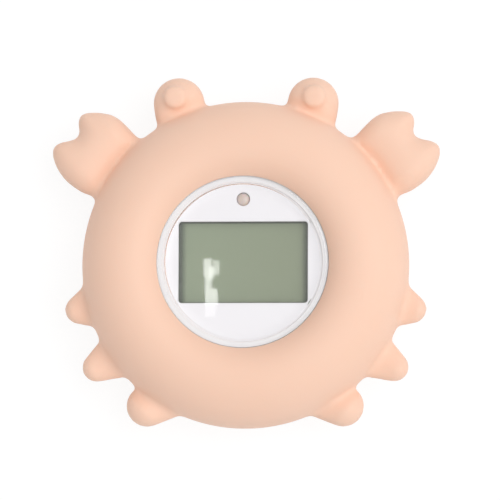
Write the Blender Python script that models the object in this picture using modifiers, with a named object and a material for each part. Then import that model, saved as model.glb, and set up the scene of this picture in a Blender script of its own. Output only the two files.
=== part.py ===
"""A baby bath thermometer shaped like a crab, lying on its back with its display facing up.

A soft silicone cover in the shape of a crab is pulled over a round float. The float is two plastic
shells with a seal between them. It holds the display, its circuit board and a coin cell, with a
lens in front and a screwed battery door, a sensor cap and two water contacts in its back.
All lengths are in metres. +Z is the way the display faces and +Y is towards the crab's eyes.
"""

import math

import bmesh
import bpy
from mathutils import Matrix, Vector

# Clearances
FIT = 0.0003  # between pieces that touch on the real object
LAYER_FIT = 0.0001  # between the layers of the display, which are glued together
OVERSHOOT = 0.001  # how far a cutter runs past the face that it opens

# Silicone cover: the round body
BODY_RADIUS = 0.0423
BODY_HEIGHT = 0.028
EQUATOR_HEIGHT = 0.0135  # where the body is widest, and the middle of every claw, leg and eye
CROWN_RADIUS = 0.0295  # circle along the top of the body's ring
BACK_FLAT_RADIUS = 0.031
SKIN = 0.003  # wall of the cover at its side and its front
BACK_SKIN = 0.0022
LIP_THICKNESS = 0.0007  # edge of the cover beside the lens

# Silicone cover: claws, in metres outwards from the body's edge and sideways from the claw's axis
CLAW_ANGLE = math.radians(37.5)
CLAW_THICKNESS = 0.0105
CLAW_TIP_SHARE = 0.8  # thickness of the pincers as a share of the palm's
CLAW_LOWER_EDGE = (
    (-0.0050, -0.0095),
    (0.0014, -0.0109),
    (0.0070, -0.0115),
    (0.0122, -0.0102),
    (0.0163, -0.0073),
    (0.0162, -0.0037),
    (0.0136, -0.0020),
)
CLAW_UPPER_EDGE = (
    (-0.0040, 0.0085),
    (0.0020, 0.0094),
    (0.0068, 0.0106),
    (0.0109, 0.0099),
    (0.0142, 0.0072),
    (0.0162, 0.0046),
    (0.0142, 0.0021),
)
CLAW_NOTCH = (0.0122, 0.0000)
CLAW_PALM = (0.0095, -0.0003)

# Silicone cover: legs, each a tapered nub from a root inside the body to a round tip.
# Angle from +X, distance of the centre beyond the body's edge, and radius.
LEG_TIPS = (
    (math.radians(-14.6), 0.0022, 0.0035),
    (math.radians(-34.3), 0.0043, 0.0036),
    (math.radians(-55.0), 0.0020, 0.0053),
)
LEG_ROOTS = (
    (math.radians(-14.1), -0.0032, 0.0064),
    (math.radians(-34.9), -0.0027, 0.0063),
    (math.radians(-60.6), -0.0036, 0.0050),
)

# Silicone cover: eyes
EYE_ANGLE = math.radians(67.3)
EYE_REACH = 0.0031
EYE_RADIUS = 0.0066
EYE_HALF_THICKNESS = 0.0056
PUPIL_RADIUS = 0.0028
PUPIL_HALF_THICKNESS = 0.0017
PUPIL_OUTWARDS = 0.0010  # from the eye's centre
PUPIL_SINK = 0.0003  # centre of the pupil below the top of the eye

# Float: two shells under the cover
HOUSING_WALL = 0.002
FLOOR_HEIGHT = 0.0045  # inner face of the rear shell's floor
BACK_RECESS = 0.0008  # face of the rear pad above the surface that the cover rests on
PAD_RADIUS = 0.0237
HOUSING_SEAL_THICKNESS = 0.0004
HOUSING_SEAL_INSET = 0.0002  # from both faces of the wall
COLLAR_WALL = 0.00165
COLLAR_RISE = 0.0004  # height of the collar above the underside of the lens
SHOULDER_RADIUS = 0.0275
SHOULDER_RUN = 0.002  # from the shoulder out to the top of the shell's dome
SHOULDER_DROP = 0.0003

# Float: screws that hold the shells together
BOSS_CIRCLE = 0.031
BOSS_RADIUS = 0.0032
BOSS_ANGLES = tuple(math.radians(a) for a in (45, 135, 225, 315))
HOUSING_SCREW_RADIUS = 0.00125
HOUSING_SCREW_HEAD_RADIUS = 0.0024
HOUSING_SCREW_HEAD_HEIGHT = 0.0016
HOUSING_SCREW_HEAD_DEPTH = 0.0034  # head's outer face above the resting surface
HOUSING_SCREW_LENGTH = 0.015

# Battery compartment
DOOR_LENGTH = 0.036
DOOR_WIDTH = 0.026
DOOR_CORNER = 0.012
DOOR_THICKNESS = 0.002
DOOR_SCREW_OFFSET = 0.0155
DOOR_SCREW_RADIUS = 0.0011
DOOR_SCREW_HEAD_RADIUS = 0.002
DOOR_SCREW_HEAD_HEIGHT = 0.001
DOOR_SCREW_LENGTH = 0.0052
DOOR_BOSS_RADIUS = 0.0026
DRIVE_SLOT_WIDTH = 0.0006
DRIVE_SLOT_LENGTH = 0.0026
DRIVE_SLOT_DEPTH = 0.0005
CELL_RADIUS = 0.010
CELL_THICKNESS = 0.0032
CELL_RIM = 0.0004
CONTACT_THICKNESS = 0.0003
WELL_WALL = 0.003
WELL_CEILING = 0.0016
NEGATIVE_CONTACT_RADIUS = 0.008
POSITIVE_CONTACT_WIDTH = 0.011
DOOR_SEAL_WIDTH = 0.001
DOOR_SEAL_THICKNESS = 0.0006
DOOR_SEAL_OFFSET = 0.0006  # from the well to the groove
NEGATIVE_PIN_X = 0.003
PIN_RADIUS = 0.0005

# Sensor and water contacts in the rear pad
SENSOR_Y = -0.018
SENSOR_RADIUS = 0.0026
SENSOR_WALL = 0.0005
SENSOR_PROUD = 0.0006  # how far the cap stands out of the pad
SENSOR_FLANGE_WIDTH = 0.0013
SENSOR_FLANGE_THICKNESS = 0.0006
SENSOR_SEAL_THICKNESS = 0.0005
BEAD_RADIUS = 0.0012
LEAD_RADIUS = 0.0003
LEAD_SPACING = 0.0012
WATER_CONTACT_X = 0.007
WATER_CONTACT_Y = 0.018
WATER_CONTACT_RADIUS = 0.0008
WATER_CONTACT_HEAD_RADIUS = 0.0016
WATER_CONTACT_HEAD_HEIGHT = 0.0008
WATER_CONTACT_PROUD = 0.0003

# Circuit board
BOARD_RADIUS = 0.027
BOARD_THICKNESS = 0.0016
BOARD_SPACE = 0.0032  # below the board, for the pieces soldered on its underside
POST_INSET = 0.0027  # from the board's edge to the middle of its posts
POST_CIRCLE = BOARD_RADIUS - POST_INSET
POST_RADIUS = 0.0026
POST_ANGLES = tuple(math.radians(a) for a in (0, 90, 180, 270))
BOARD_SCREW_RADIUS = 0.001
BOARD_SCREW_HEAD_RADIUS = 0.002
BOARD_SCREW_HEAD_HEIGHT = 0.0012
BOARD_SCREW_LENGTH = 0.007
CHIP_PLACE = (-0.008, 0.009)
CHIP_RADIUS = 0.004
CHIP_THICKNESS = 0.0012
CRYSTAL_PLACE = (0.009, -0.009)
CRYSTAL_LENGTH = 0.006
CRYSTAL_RADIUS = 0.001
CAPACITOR_PLACES = ((0.012, 0.009), (0.016, 0.009))
CAPACITOR_SIZE = (0.0020, 0.0013, 0.0011)
RESISTOR_PLACES = ((0.012, 0.005), (0.016, 0.005))
RESISTOR_SIZE = (0.0020, 0.0013, 0.0006)

# Display
WINDOW_WIDTH = 0.0333
WINDOW_HEIGHT = 0.0210
WINDOW_CORNER = 0.0009
GLASS_WIDTH = 0.036
GLASS_HEIGHT = 0.0228
GLASS_THICKNESS = 0.0007
CONTACT_LEDGE = 0.0032  # how far the front glass runs past the rear glass
POLARISER_THICKNESS = 0.00025
POLARISER_INSET = 0.0004
DISPLAY_STANDOFF = 0.0034  # from the holder's foot to the rear of the display
HOLDER_WALL = 0.0012
HOLDER_LIP = 0.0008
HOLDER_REVEAL = 0.0003
ZEBRA_LENGTH = 0.032
ZEBRA_WIDTH = 0.0022

# Alarm light
LED_Y = 0.01625
LED_RADIUS = 0.0015
LED_FLANGE_RADIUS = 0.0019
LED_FLANGE_HEIGHT = 0.001
LED_HEIGHT = 0.0056
LED_LEAD_LENGTH = 0.0023
LED_LEAD_WIDTH = 0.0005
LED_LEAD_SPACING = 0.00127
LED_HOLE_RADIUS = 0.00173

# Face plate, lens and their seat
PLATE_RADIUS = 0.0203
PLATE_THICKNESS = 0.0015
LEDGE_THICKNESS = 0.0011
LENS_RADIUS = 0.02205
LENS_FLANGE_THICKNESS = 0.0011
LENS_FLANGE_WIDTH = 0.0007
LENS_CROWN = 0.0008  # height of the lens's face above its flange
LENS_BEVEL_WIDTH = 0.0015
LENS_SEAL_THICKNESS = 0.0005

# Fineness of round pieces
COVER_STEPS = 56
HOUSING_STEPS = 40
SMALL_STEPS = 14
HOLE_STEPS = 10
DISC_STEPS = 24
COVER_ARC_STEPS = 6
HOUSING_ARC_STEPS = 4
BEVEL_STEPS = 3
DOOR_CORNER_STEPS = 8
LOBE_SEGMENTS = 14
LOBE_RINGS = 8
CLAW_LEVELS = 1

# Heights that follow from the stack, from the back towards the lens
door_seat_z = BACK_RECESS + DOOR_THICKNESS + FIT
cell_top_z = door_seat_z + CELL_THICKNESS
contact_z = cell_top_z + FIT
well_ceiling_z = contact_z + CONTACT_THICKNESS + FIT
well_top_z = well_ceiling_z + WELL_CEILING
board_z = well_top_z + BOARD_SPACE
board_top_z = board_z + BOARD_THICKNESS
solder_z = board_z - FIT
holder_z = board_top_z + FIT
rear_polariser_z = holder_z + DISPLAY_STANDOFF
rear_glass_z = rear_polariser_z + POLARISER_THICKNESS + LAYER_FIT
front_glass_z = rear_glass_z + GLASS_THICKNESS + LAYER_FIT
front_polariser_z = front_glass_z + GLASS_THICKNESS + LAYER_FIT
holder_lip_z = front_polariser_z + POLARISER_THICKNESS + FIT
holder_top_z = holder_lip_z + HOLDER_LIP
plate_z = holder_top_z + FIT
ledge_z = holder_top_z + FIT
ledge_top_z = ledge_z + LEDGE_THICKNESS
lens_seal_z = ledge_top_z + FIT
lens_z = lens_seal_z + LENS_SEAL_THICKNESS + FIT
lens_flange_z = lens_z + LENS_FLANGE_THICKNESS
lens_face_z = lens_flange_z + LENS_CROWN
collar_top_z = lens_z + COLLAR_RISE
lip_z = collar_top_z + FIT + LIP_THICKNESS
rear_rim_z = EQUATOR_HEIGHT - HOUSING_SEAL_THICKNESS / 2 - FIT
front_rim_z = EQUATOR_HEIGHT + HOUSING_SEAL_THICKNESS / 2 + FIT

# Radii that follow from the fits
opening_radius = LENS_RADIUS + FIT
housing_radius = BODY_RADIUS - SKIN - FIT
dome_radius = SHOULDER_RADIUS + SHOULDER_RUN
collar_radius = opening_radius + COLLAR_WALL
ledge_radius = PLATE_RADIUS + FIT
rear_opening_radius = PAD_RADIUS + FIT
well_radius = CELL_RADIUS + 2 * FIT + CONTACT_THICKNESS + FIT / 2
well_block_radius = well_radius + WELL_WALL

# The body's axis, placed so that the middle of the whole outline lies at the origin
eye_centre = Vector((math.cos(EYE_ANGLE), math.sin(EYE_ANGLE))) * (BODY_RADIUS + EYE_REACH)
axis_y = -(eye_centre.y + EYE_RADIUS - BODY_RADIUS) / 2


def clear_scene():
    for obj in list(bpy.data.objects):
        bpy.data.objects.remove(obj, do_unlink=True)


def new_collection(name):
    collection = bpy.data.collections.new(name)
    bpy.context.scene.collection.children.link(collection)
    return collection


clear_scene()
PARTS = new_collection("baby_bath_thermometer")
HELPERS = new_collection("cutters_and_lobes")
AXIS = bpy.data.objects.new("module_axis", None)
AXIS.location = (0, axis_y, 0)
PARTS.objects.link(AXIS)


def finish(name, colour, roughness, metallic=0.0, transmission=0.0):
    """A Principled material. The colour is linear."""
    material = bpy.data.materials.new(name)
    material.use_nodes = True
    shader = material.node_tree.nodes["Principled BSDF"]
    shader.inputs["Base Color"].default_value = (*colour, 1.0)
    shader.inputs["Roughness"].default_value = roughness
    shader.inputs["Metallic"].default_value = metallic
    shader.inputs["Transmission Weight"].default_value = transmission
    return material


PEACH_SILICONE = finish("peach_silicone", (0.93, 0.64, 0.48), 0.6)
SEAL_RUBBER = finish("white_seal_rubber", (0.75, 0.75, 0.74), 0.6)
WHITE_ABS = finish("white_abs", (0.85, 0.85, 0.86), 0.35)
WHITE_PLATE = finish("white_face_plate", (0.87, 0.86, 0.88), 0.3)
CLEAR_ACRYLIC = finish("clear_acrylic", (1.0, 1.0, 1.0), 0.03, transmission=1.0)
DARK_ABS = finish("dark_grey_abs", (0.05, 0.05, 0.05), 0.5)
GLASS = finish("display_glass", (0.8, 0.85, 0.8), 0.05, transmission=0.6)
POLARISER = finish("grey_green_polariser", (0.34, 0.38, 0.28), 0.3)
ZEBRA_RUBBER = finish("zebra_rubber", (0.12, 0.12, 0.13), 0.6)
BOARD_GREEN = finish("green_board", (0.02, 0.16, 0.05), 0.45)
EPOXY = finish("black_epoxy", (0.02, 0.02, 0.02), 0.35)
CERAMIC = finish("component_ceramic", (0.45, 0.33, 0.22), 0.5)
STEEL = finish("steel", (0.55, 0.55, 0.56), 0.3, metallic=1.0)
NICKEL = finish("nickel_plate", (0.62, 0.6, 0.56), 0.25, metallic=1.0)
LED_RESIN = finish("milky_led_resin", (0.62, 0.55, 0.5), 0.15)


def add_object(name, mesh, material, place=(0, 0, 0)):
    """A part, or a helper for cutting and joining where no material is given."""
    obj = bpy.data.objects.new(name, mesh)
    obj.parent = AXIS
    obj.location = place
    if material is None:
        HELPERS.objects.link(obj)
        obj.hide_render = True
        obj.display_type = "WIRE"
    else:
        PARTS.objects.link(obj)
        if not mesh.materials:
            mesh.materials.append(material)
    return obj


def mesh_of(name, shape):
    mesh = bpy.data.meshes.new(name)
    shape.to_mesh(mesh)
    shape.free()
    return mesh


def box(name, size, place, material=None):
    """A block of this size, centred in X and Y on place, with its foot at place's height."""
    shape = bmesh.new()
    lift = Matrix.Translation((0, 0, size[2] / 2))
    bmesh.ops.create_cube(shape, size=1, matrix=lift @ Matrix.Diagonal((*size, 1)))
    return add_object(name, mesh_of(name, shape), material, place)


def rounded_block(name, size, corner, place, material=None, segments=BEVEL_STEPS):
    """A block whose four upright edges are rounded."""
    shape = bmesh.new()
    lift = Matrix.Translation((0, 0, size[2] / 2))
    bmesh.ops.create_cube(shape, size=1, matrix=lift @ Matrix.Diagonal((*size, 1)))
    upright = [e for e in shape.edges if abs(e.verts[0].co.z - e.verts[1].co.z) > size[2] / 2]
    bmesh.ops.bevel(shape, geom=upright, offset=corner, segments=segments, profile=0.5, affect="EDGES")
    return add_object(name, mesh_of(name, shape), material, place)


def columns(name, places, foot_z, top_z, radius, material=None, steps=SMALL_STEPS):
    """An upright cylinder at each of these places, as one mesh."""
    shape = bmesh.new()
    for x, y in places:
        bmesh.ops.create_cone(
            shape,
            cap_ends=True,
            segments=steps,
            radius1=radius,
            radius2=radius,
            depth=top_z - foot_z,
            matrix=Matrix.Translation((x, y, (top_z - foot_z) / 2)),
        )
    return add_object(name, mesh_of(name, shape), material, (0, 0, foot_z))


def holes(name, places, foot_z, top_z, radius):
    """Thin upright cylinders at these places, for narrow holes and leads."""
    return columns(name, places, foot_z, top_z, radius, steps=HOLE_STEPS)


def profile_mesh(name, profile, closed):
    """A line of points in the XZ plane. It runs down the outer side of the piece."""
    shape = bmesh.new()
    points = [shape.verts.new((radius, 0, height)) for radius, height in profile]
    for a, b in zip(points, points[1:]):
        shape.edges.new((a, b))
    if closed:
        shape.edges.new((points[-1], points[0]))
    return mesh_of(name, shape)


def turned(name, profile, steps, material=None, place=(0, 0, 0), closed=False):
    """A solid of revolution. The profile starts and ends on the axis unless it is closed."""
    obj = add_object(name, profile_mesh(name, profile, closed), material, place)
    screw = obj.modifiers.new("Turn", "SCREW")
    screw.steps = steps
    screw.render_steps = steps
    screw.use_merge_vertices = True
    screw.merge_threshold = 1e-6
    return obj


def ring(name, inner, outer, foot_z, thickness, steps, material=None, place=(0, 0, 0)):
    top_z = foot_z + thickness
    profile = [(inner, top_z), (outer, top_z), (outer, foot_z), (inner, foot_z)]
    return turned(name, profile, steps, material, place, closed=True)


def boolean(obj, operand, operation):
    modifier = obj.modifiers.new(operation.title(), "BOOLEAN")
    modifier.operation = operation
    modifier.object = operand
    return obj


def cut(obj, *cutters):
    for cutter in cutters:
        boolean(obj, cutter, "DIFFERENCE")
    return obj


def join(obj, *others):
    for other in others:
        boolean(obj, other, "UNION")
    return obj


def on_circle(radius, angles):
    return [(radius * math.cos(a), radius * math.sin(a)) for a in angles]


def quarter(centre, across, up, from_angle, to_angle, steps):
    """Points on an ellipse around centre, both ends included. Angles are from the outward direction."""
    for step in range(steps + 1):
        angle = from_angle + (to_angle - from_angle) * step / steps
        yield centre[0] + across * math.cos(angle), centre[1] + up * math.sin(angle)


def dish_profile():
    """The arc from the lens's edge up to the crown of the body's ring, level at the crown."""
    run = CROWN_RADIUS - opening_radius
    rise = BODY_HEIGHT - lip_z
    radius = (run**2 + rise**2) / (2 * rise)
    slope = math.asin(run / radius)
    steps = COVER_ARC_STEPS // 2
    for step in range(steps):
        angle = slope * (1 - step / steps)
        yield CROWN_RADIUS - radius * math.sin(angle), BODY_HEIGHT - radius * (1 - math.cos(angle))


def body_profile():
    """Outer face of the cover, from the lens over the crown and the widest circle to the flat back."""
    top = quarter(
        (CROWN_RADIUS, EQUATOR_HEIGHT),
        BODY_RADIUS - CROWN_RADIUS,
        BODY_HEIGHT - EQUATOR_HEIGHT,
        math.pi / 2,
        0,
        COVER_ARC_STEPS,
    )
    back = quarter(
        (BACK_FLAT_RADIUS, EQUATOR_HEIGHT),
        BODY_RADIUS - BACK_FLAT_RADIUS,
        EQUATOR_HEIGHT,
        0,
        -math.pi / 2,
        COVER_ARC_STEPS,
    )
    return [*dish_profile(), *top, *list(back)[1:]]


def front_shell_profile(grow):
    """Outer face of the front shell from its collar to its rim, moved out by grow."""
    dome_top = BODY_HEIGHT - SKIN - FIT
    dome = quarter(
        (dome_radius, EQUATOR_HEIGHT),
        housing_radius - dome_radius + grow,
        dome_top - EQUATOR_HEIGHT + grow,
        math.pi / 2,
        0,
        HOUSING_ARC_STEPS,
    )
    return [
        (collar_radius, collar_top_z + grow),
        (SHOULDER_RADIUS, dome_top - SHOULDER_DROP + grow),
        *dome,
    ]


def rear_shell_profile(grow):
    """Outer face of the rear shell from its rim to its flat, moved out by grow."""
    flat_z = BACK_SKIN + FIT
    return quarter(
        (BACK_FLAT_RADIUS, EQUATOR_HEIGHT),
        housing_radius - BACK_FLAT_RADIUS + grow,
        EQUATOR_HEIGHT - flat_z + grow,
        0,
        -math.pi / 2,
        HOUSING_ARC_STEPS,
    )


def at_height(points, rim_z, above):
    """The points on one side of the rim, with the one at the rim's height moved onto it."""
    kept = [p for p in points if (p[1] > rim_z if above else p[1] < rim_z)]
    return [*kept, (housing_radius, rim_z)] if above else [(housing_radius, rim_z), *kept]


def radial(angle, distance):
    """A place at this distance beyond the body's edge, at the height of the widest circle."""
    reach = BODY_RADIUS + distance
    return Vector((reach * math.cos(angle), reach * math.sin(angle), EQUATOR_HEIGHT))


def both_sides(obj):
    """The same lobe on the crab's other side. The halves don't meet."""
    mirror = obj.modifiers.new("Other side", "MIRROR")
    mirror.merge_threshold = 1e-6
    mirror.mirror_object = AXIS
    return obj


def claw():
    """A flat cage of the open claw, given its thickness and then rounded."""
    shape = bmesh.new()
    lower = [shape.verts.new((*point, 0)) for point in CLAW_LOWER_EDGE]
    upper = [shape.verts.new((*point, 0)) for point in CLAW_UPPER_EDGE]
    middle = [shape.verts.new((low.co + high.co) / 2) for low, high in zip(lower[:3], upper[:3])]
    middle.append(shape.verts.new((*CLAW_PALM, 0)))
    notch = shape.verts.new((*CLAW_NOTCH, 0))
    for i in range(3):
        shape.faces.new((lower[i], lower[i + 1], middle[i + 1], middle[i]))
        shape.faces.new((middle[i], middle[i + 1], upper[i + 1], upper[i]))
    palm = middle[3]
    shape.faces.new((lower[3], lower[6], notch, palm))
    shape.faces.new((lower[3], lower[4], lower[5], lower[6]))
    shape.faces.new((palm, notch, upper[6], upper[3]))
    shape.faces.new((upper[3], upper[6], upper[5], upper[4]))
    shape.verts.index_update()
    tips = [v.index for v in (*lower[4:], *upper[4:])]
    thick = [v.index for v in shape.verts if v.index not in tips]
    obj = add_object("claw", mesh_of("claw", shape), None, radial(CLAW_ANGLE, 0))
    obj.rotation_euler = (0, 0, CLAW_ANGLE)
    group = obj.vertex_groups.new(name="thickness")
    group.add(thick, 1.0, "REPLACE")
    group.add(tips, CLAW_TIP_SHARE, "REPLACE")
    solid = obj.modifiers.new("Thickness", "SOLIDIFY")
    solid.thickness = CLAW_THICKNESS
    solid.offset = 0
    solid.vertex_group = group.name
    smooth = obj.modifiers.new("Round", "SUBSURF")
    smooth.levels = CLAW_LEVELS
    smooth.render_levels = CLAW_LEVELS
    return both_sides(obj)


def leg(name, tip, root):
    """A tapered nub: the hull around a small ball at the tip and a larger one at the root."""
    shape = bmesh.new()
    for angle, distance, radius in (tip, root):
        place = Matrix.Translation(radial(angle, distance))
        bmesh.ops.create_uvsphere(
            shape, u_segments=LOBE_SEGMENTS, v_segments=LOBE_RINGS, radius=radius, matrix=place
        )
    bmesh.ops.delete(shape, geom=shape.edges[:], context="EDGES_FACES")
    bmesh.ops.convex_hull(shape, input=shape.verts)
    loose = [v for v in shape.verts if not v.link_faces]
    bmesh.ops.delete(shape, geom=loose, context="VERTS")
    return both_sides(add_object(name, mesh_of(name, shape), None))


def ball(name, radius, half_thickness, place, segments):
    """A ball flattened along Z."""
    shape = bmesh.new()
    squash = Matrix.Diagonal((radius, radius, half_thickness, 1))
    bmesh.ops.create_uvsphere(shape, u_segments=segments, v_segments=LOBE_RINGS, radius=1, matrix=squash)
    return both_sides(add_object(name, mesh_of(name, shape), None, place))


def silicone_cover():
    body = [(0, lip_z), *body_profile(), (0, 0)]
    cover = turned("silicone_cover", body, COVER_STEPS, PEACH_SILICONE)
    join(cover, claw())
    for number, (tip, root) in enumerate(zip(LEG_TIPS, LEG_ROOTS), start=1):
        join(cover, leg(f"leg_{number}", tip, root))
    eye_place = radial(EYE_ANGLE, EYE_REACH)
    join(cover, ball("eye", EYE_RADIUS, EYE_HALF_THICKNESS, eye_place, DISC_STEPS))
    pupil_place = radial(EYE_ANGLE, EYE_REACH + PUPIL_OUTWARDS)
    pupil_place.z += EYE_HALF_THICKNESS - PUPIL_SINK
    join(cover, ball("pupil", PUPIL_RADIUS, PUPIL_HALF_THICKNESS, pupil_place, LOBE_SEGMENTS))
    core = [
        (0, BODY_HEIGHT + OVERSHOOT),
        (opening_radius, BODY_HEIGHT + OVERSHOOT),
        (opening_radius, collar_top_z + FIT),
        *front_shell_profile(FIT),
        *list(rear_shell_profile(FIT))[1:],
        (rear_opening_radius, BACK_SKIN),
        (rear_opening_radius, -OVERSHOOT),
        (0, -OVERSHOOT),
    ]
    return cut(cover, turned("cover_core", core, COVER_STEPS))


def front_housing():
    outer = [(0, collar_top_z), *at_height(front_shell_profile(0), front_rim_z, True), (0, front_rim_z)]
    shell = turned("front_housing", outer, HOUSING_STEPS, WHITE_ABS)
    dome_top = BODY_HEIGHT - SKIN - FIT - HOUSING_WALL
    inner = quarter(
        (dome_radius, EQUATOR_HEIGHT),
        housing_radius - HOUSING_WALL - dome_radius,
        dome_top - EQUATOR_HEIGHT,
        math.pi / 2,
        0,
        HOUSING_ARC_STEPS,
    )
    cavity_profile = [
        (0, ledge_z),
        (collar_radius, ledge_z),
        (SHOULDER_RADIUS, dome_top - SHOULDER_DROP),
        *inner,
        (housing_radius - HOUSING_WALL, front_rim_z - OVERSHOOT),
        (0, front_rim_z - OVERSHOOT),
    ]
    cavity = turned("front_cavity", cavity_profile, HOUSING_STEPS)
    bosses = on_circle(BOSS_CIRCLE, BOSS_ANGLES)
    posts = on_circle(POST_CIRCLE, POST_ANGLES)
    cut(cavity, columns("front_bosses", bosses, front_rim_z, BODY_HEIGHT, BOSS_RADIUS))
    cut(cavity, columns("board_posts", posts, board_top_z + FIT, BODY_HEIGHT, POST_RADIUS))
    seat = turned(
        "lens_seat",
        [
            (0, BODY_HEIGHT),
            (opening_radius, BODY_HEIGHT),
            (opening_radius, ledge_top_z),
            (ledge_radius, ledge_top_z),
            (ledge_radius, ledge_z - OVERSHOOT),
            (0, ledge_z - OVERSHOOT),
        ],
        COVER_STEPS,
    )
    screw_tip = HOUSING_SCREW_HEAD_DEPTH + HOUSING_SCREW_HEAD_HEIGHT + HOUSING_SCREW_LENGTH
    board_screw_tip = board_z - FIT + BOARD_SCREW_LENGTH
    hole = HOUSING_SCREW_RADIUS + FIT
    pilot = BOARD_SCREW_RADIUS + FIT
    return cut(
        shell,
        cavity,
        seat,
        holes("boss_holes", bosses, front_rim_z - OVERSHOOT, screw_tip + FIT, hole),
        holes("post_holes", posts, board_top_z - OVERSHOOT, board_screw_tip + FIT, pilot),
    )


def rear_housing():
    flat_z = BACK_SKIN + FIT
    outer = [
        (0, rear_rim_z),
        *at_height(rear_shell_profile(0), rear_rim_z, False),
        (PAD_RADIUS, flat_z),
        (PAD_RADIUS, BACK_RECESS),
        (0, BACK_RECESS),
    ]
    shell = turned("rear_housing", outer, HOUSING_STEPS, WHITE_ABS)
    inner = quarter(
        (BACK_FLAT_RADIUS, EQUATOR_HEIGHT),
        housing_radius - HOUSING_WALL - BACK_FLAT_RADIUS,
        EQUATOR_HEIGHT - FLOOR_HEIGHT,
        0,
        -math.pi / 2,
        HOUSING_ARC_STEPS,
    )
    cavity_profile = [
        (0, rear_rim_z + OVERSHOOT),
        (housing_radius - HOUSING_WALL, rear_rim_z + OVERSHOOT),
        *list(inner)[1:],
        (0, FLOOR_HEIGHT),
    ]
    cavity = turned("rear_cavity", cavity_profile, HOUSING_STEPS)
    bosses = on_circle(BOSS_CIRCLE, BOSS_ANGLES)
    door_screws = ((-DOOR_SCREW_OFFSET, 0), (DOOR_SCREW_OFFSET, 0))
    sunk = FLOOR_HEIGHT - OVERSHOOT
    cut(
        cavity,
        columns("rear_bosses", bosses, sunk, rear_rim_z + 2 * OVERSHOOT, BOSS_RADIUS),
        columns("battery_well_wall", [(0, 0)], sunk, well_top_z, well_block_radius, steps=HOUSING_STEPS),
        columns("door_bosses", door_screws, sunk, well_top_z, DOOR_BOSS_RADIUS),
    )
    door_recess = rounded_block(
        "door_recess",
        (DOOR_LENGTH + 2 * FIT, DOOR_WIDTH + 2 * FIT, DOOR_THICKNESS + FIT + OVERSHOOT),
        DOOR_CORNER + FIT,
        (0, 0, BACK_RECESS - OVERSHOOT),
        segments=DOOR_CORNER_STEPS,
    )
    well = columns(
        "battery_well", [(0, 0)], door_seat_z - OVERSHOOT, well_ceiling_z, well_radius, steps=HOUSING_STEPS
    )
    groove_inner = well_radius + DOOR_SEAL_OFFSET
    groove = ring(
        "door_seal_groove",
        groove_inner,
        groove_inner + DOOR_SEAL_WIDTH + 2 * FIT,
        door_seat_z - OVERSHOOT,
        DOOR_SEAL_THICKNESS + FIT + OVERSHOOT,
        HOUSING_STEPS,
    )
    below = BACK_RECESS - OVERSHOOT
    head_top = HOUSING_SCREW_HEAD_DEPTH + HOUSING_SCREW_HEAD_HEIGHT
    door_screw_tip = BACK_RECESS + DOOR_SCREW_HEAD_HEIGHT + DOOR_SCREW_LENGTH
    water_places = ((-WATER_CONTACT_X, WATER_CONTACT_Y), (WATER_CONTACT_X, WATER_CONTACT_Y))
    water_head_top = BACK_RECESS - WATER_CONTACT_PROUD + WATER_CONTACT_HEAD_HEIGHT
    return cut(
        shell,
        cavity,
        door_recess,
        well,
        groove,
        holes("screw_holes", bosses, 0, rear_rim_z + OVERSHOOT, HOUSING_SCREW_RADIUS + FIT),
        columns("head_bores", bosses, 0, head_top + FIT, HOUSING_SCREW_HEAD_RADIUS + FIT),
        holes("door_pilots", door_screws, below, door_screw_tip + FIT, DOOR_SCREW_RADIUS + FIT),
        columns("sensor_hole", [(0, SENSOR_Y)], below, board_z, SENSOR_RADIUS + FIT),
        holes("water_holes", water_places, below, board_z, WATER_CONTACT_RADIUS + FIT),
        columns("water_bores", water_places, below, water_head_top + FIT, WATER_CONTACT_HEAD_RADIUS + FIT),
        holes("pin_holes", pin_places(), contact_z, board_z, PIN_RADIUS + FIT),
    )


def housing_seal():
    inner = housing_radius - HOUSING_WALL + HOUSING_SEAL_INSET
    outer = housing_radius - HOUSING_SEAL_INSET
    foot = EQUATOR_HEIGHT - HOUSING_SEAL_THICKNESS / 2
    return ring("housing_seal", inner, outer, foot, HOUSING_SEAL_THICKNESS, HOUSING_STEPS, SEAL_RUBBER)


def screws(name, places, foot_z, shank, head, head_height, length):
    """Screws that share one mesh, with the head at the foot and the tip up."""
    profile = [
        (0, head_height + length),
        (shank, head_height + length),
        (shank, head_height),
        (head, head_height),
        (head, 0),
        (0, 0),
    ]
    made = []
    for number, (x, y) in enumerate(places, start=1):
        made.append(turned(f"{name}_{number}", profile, SMALL_STEPS, STEEL, (x, y, foot_z)))
    return made


def housing_screws():
    return screws(
        "housing_screw",
        on_circle(BOSS_CIRCLE, BOSS_ANGLES),
        HOUSING_SCREW_HEAD_DEPTH,
        HOUSING_SCREW_RADIUS,
        HOUSING_SCREW_HEAD_RADIUS,
        HOUSING_SCREW_HEAD_HEIGHT,
        HOUSING_SCREW_LENGTH,
    )


def board_screws():
    return screws(
        "board_screw",
        on_circle(POST_CIRCLE, POST_ANGLES),
        solder_z - BOARD_SCREW_HEAD_HEIGHT,
        BOARD_SCREW_RADIUS,
        BOARD_SCREW_HEAD_RADIUS,
        BOARD_SCREW_HEAD_HEIGHT,
        BOARD_SCREW_LENGTH,
    )


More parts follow.
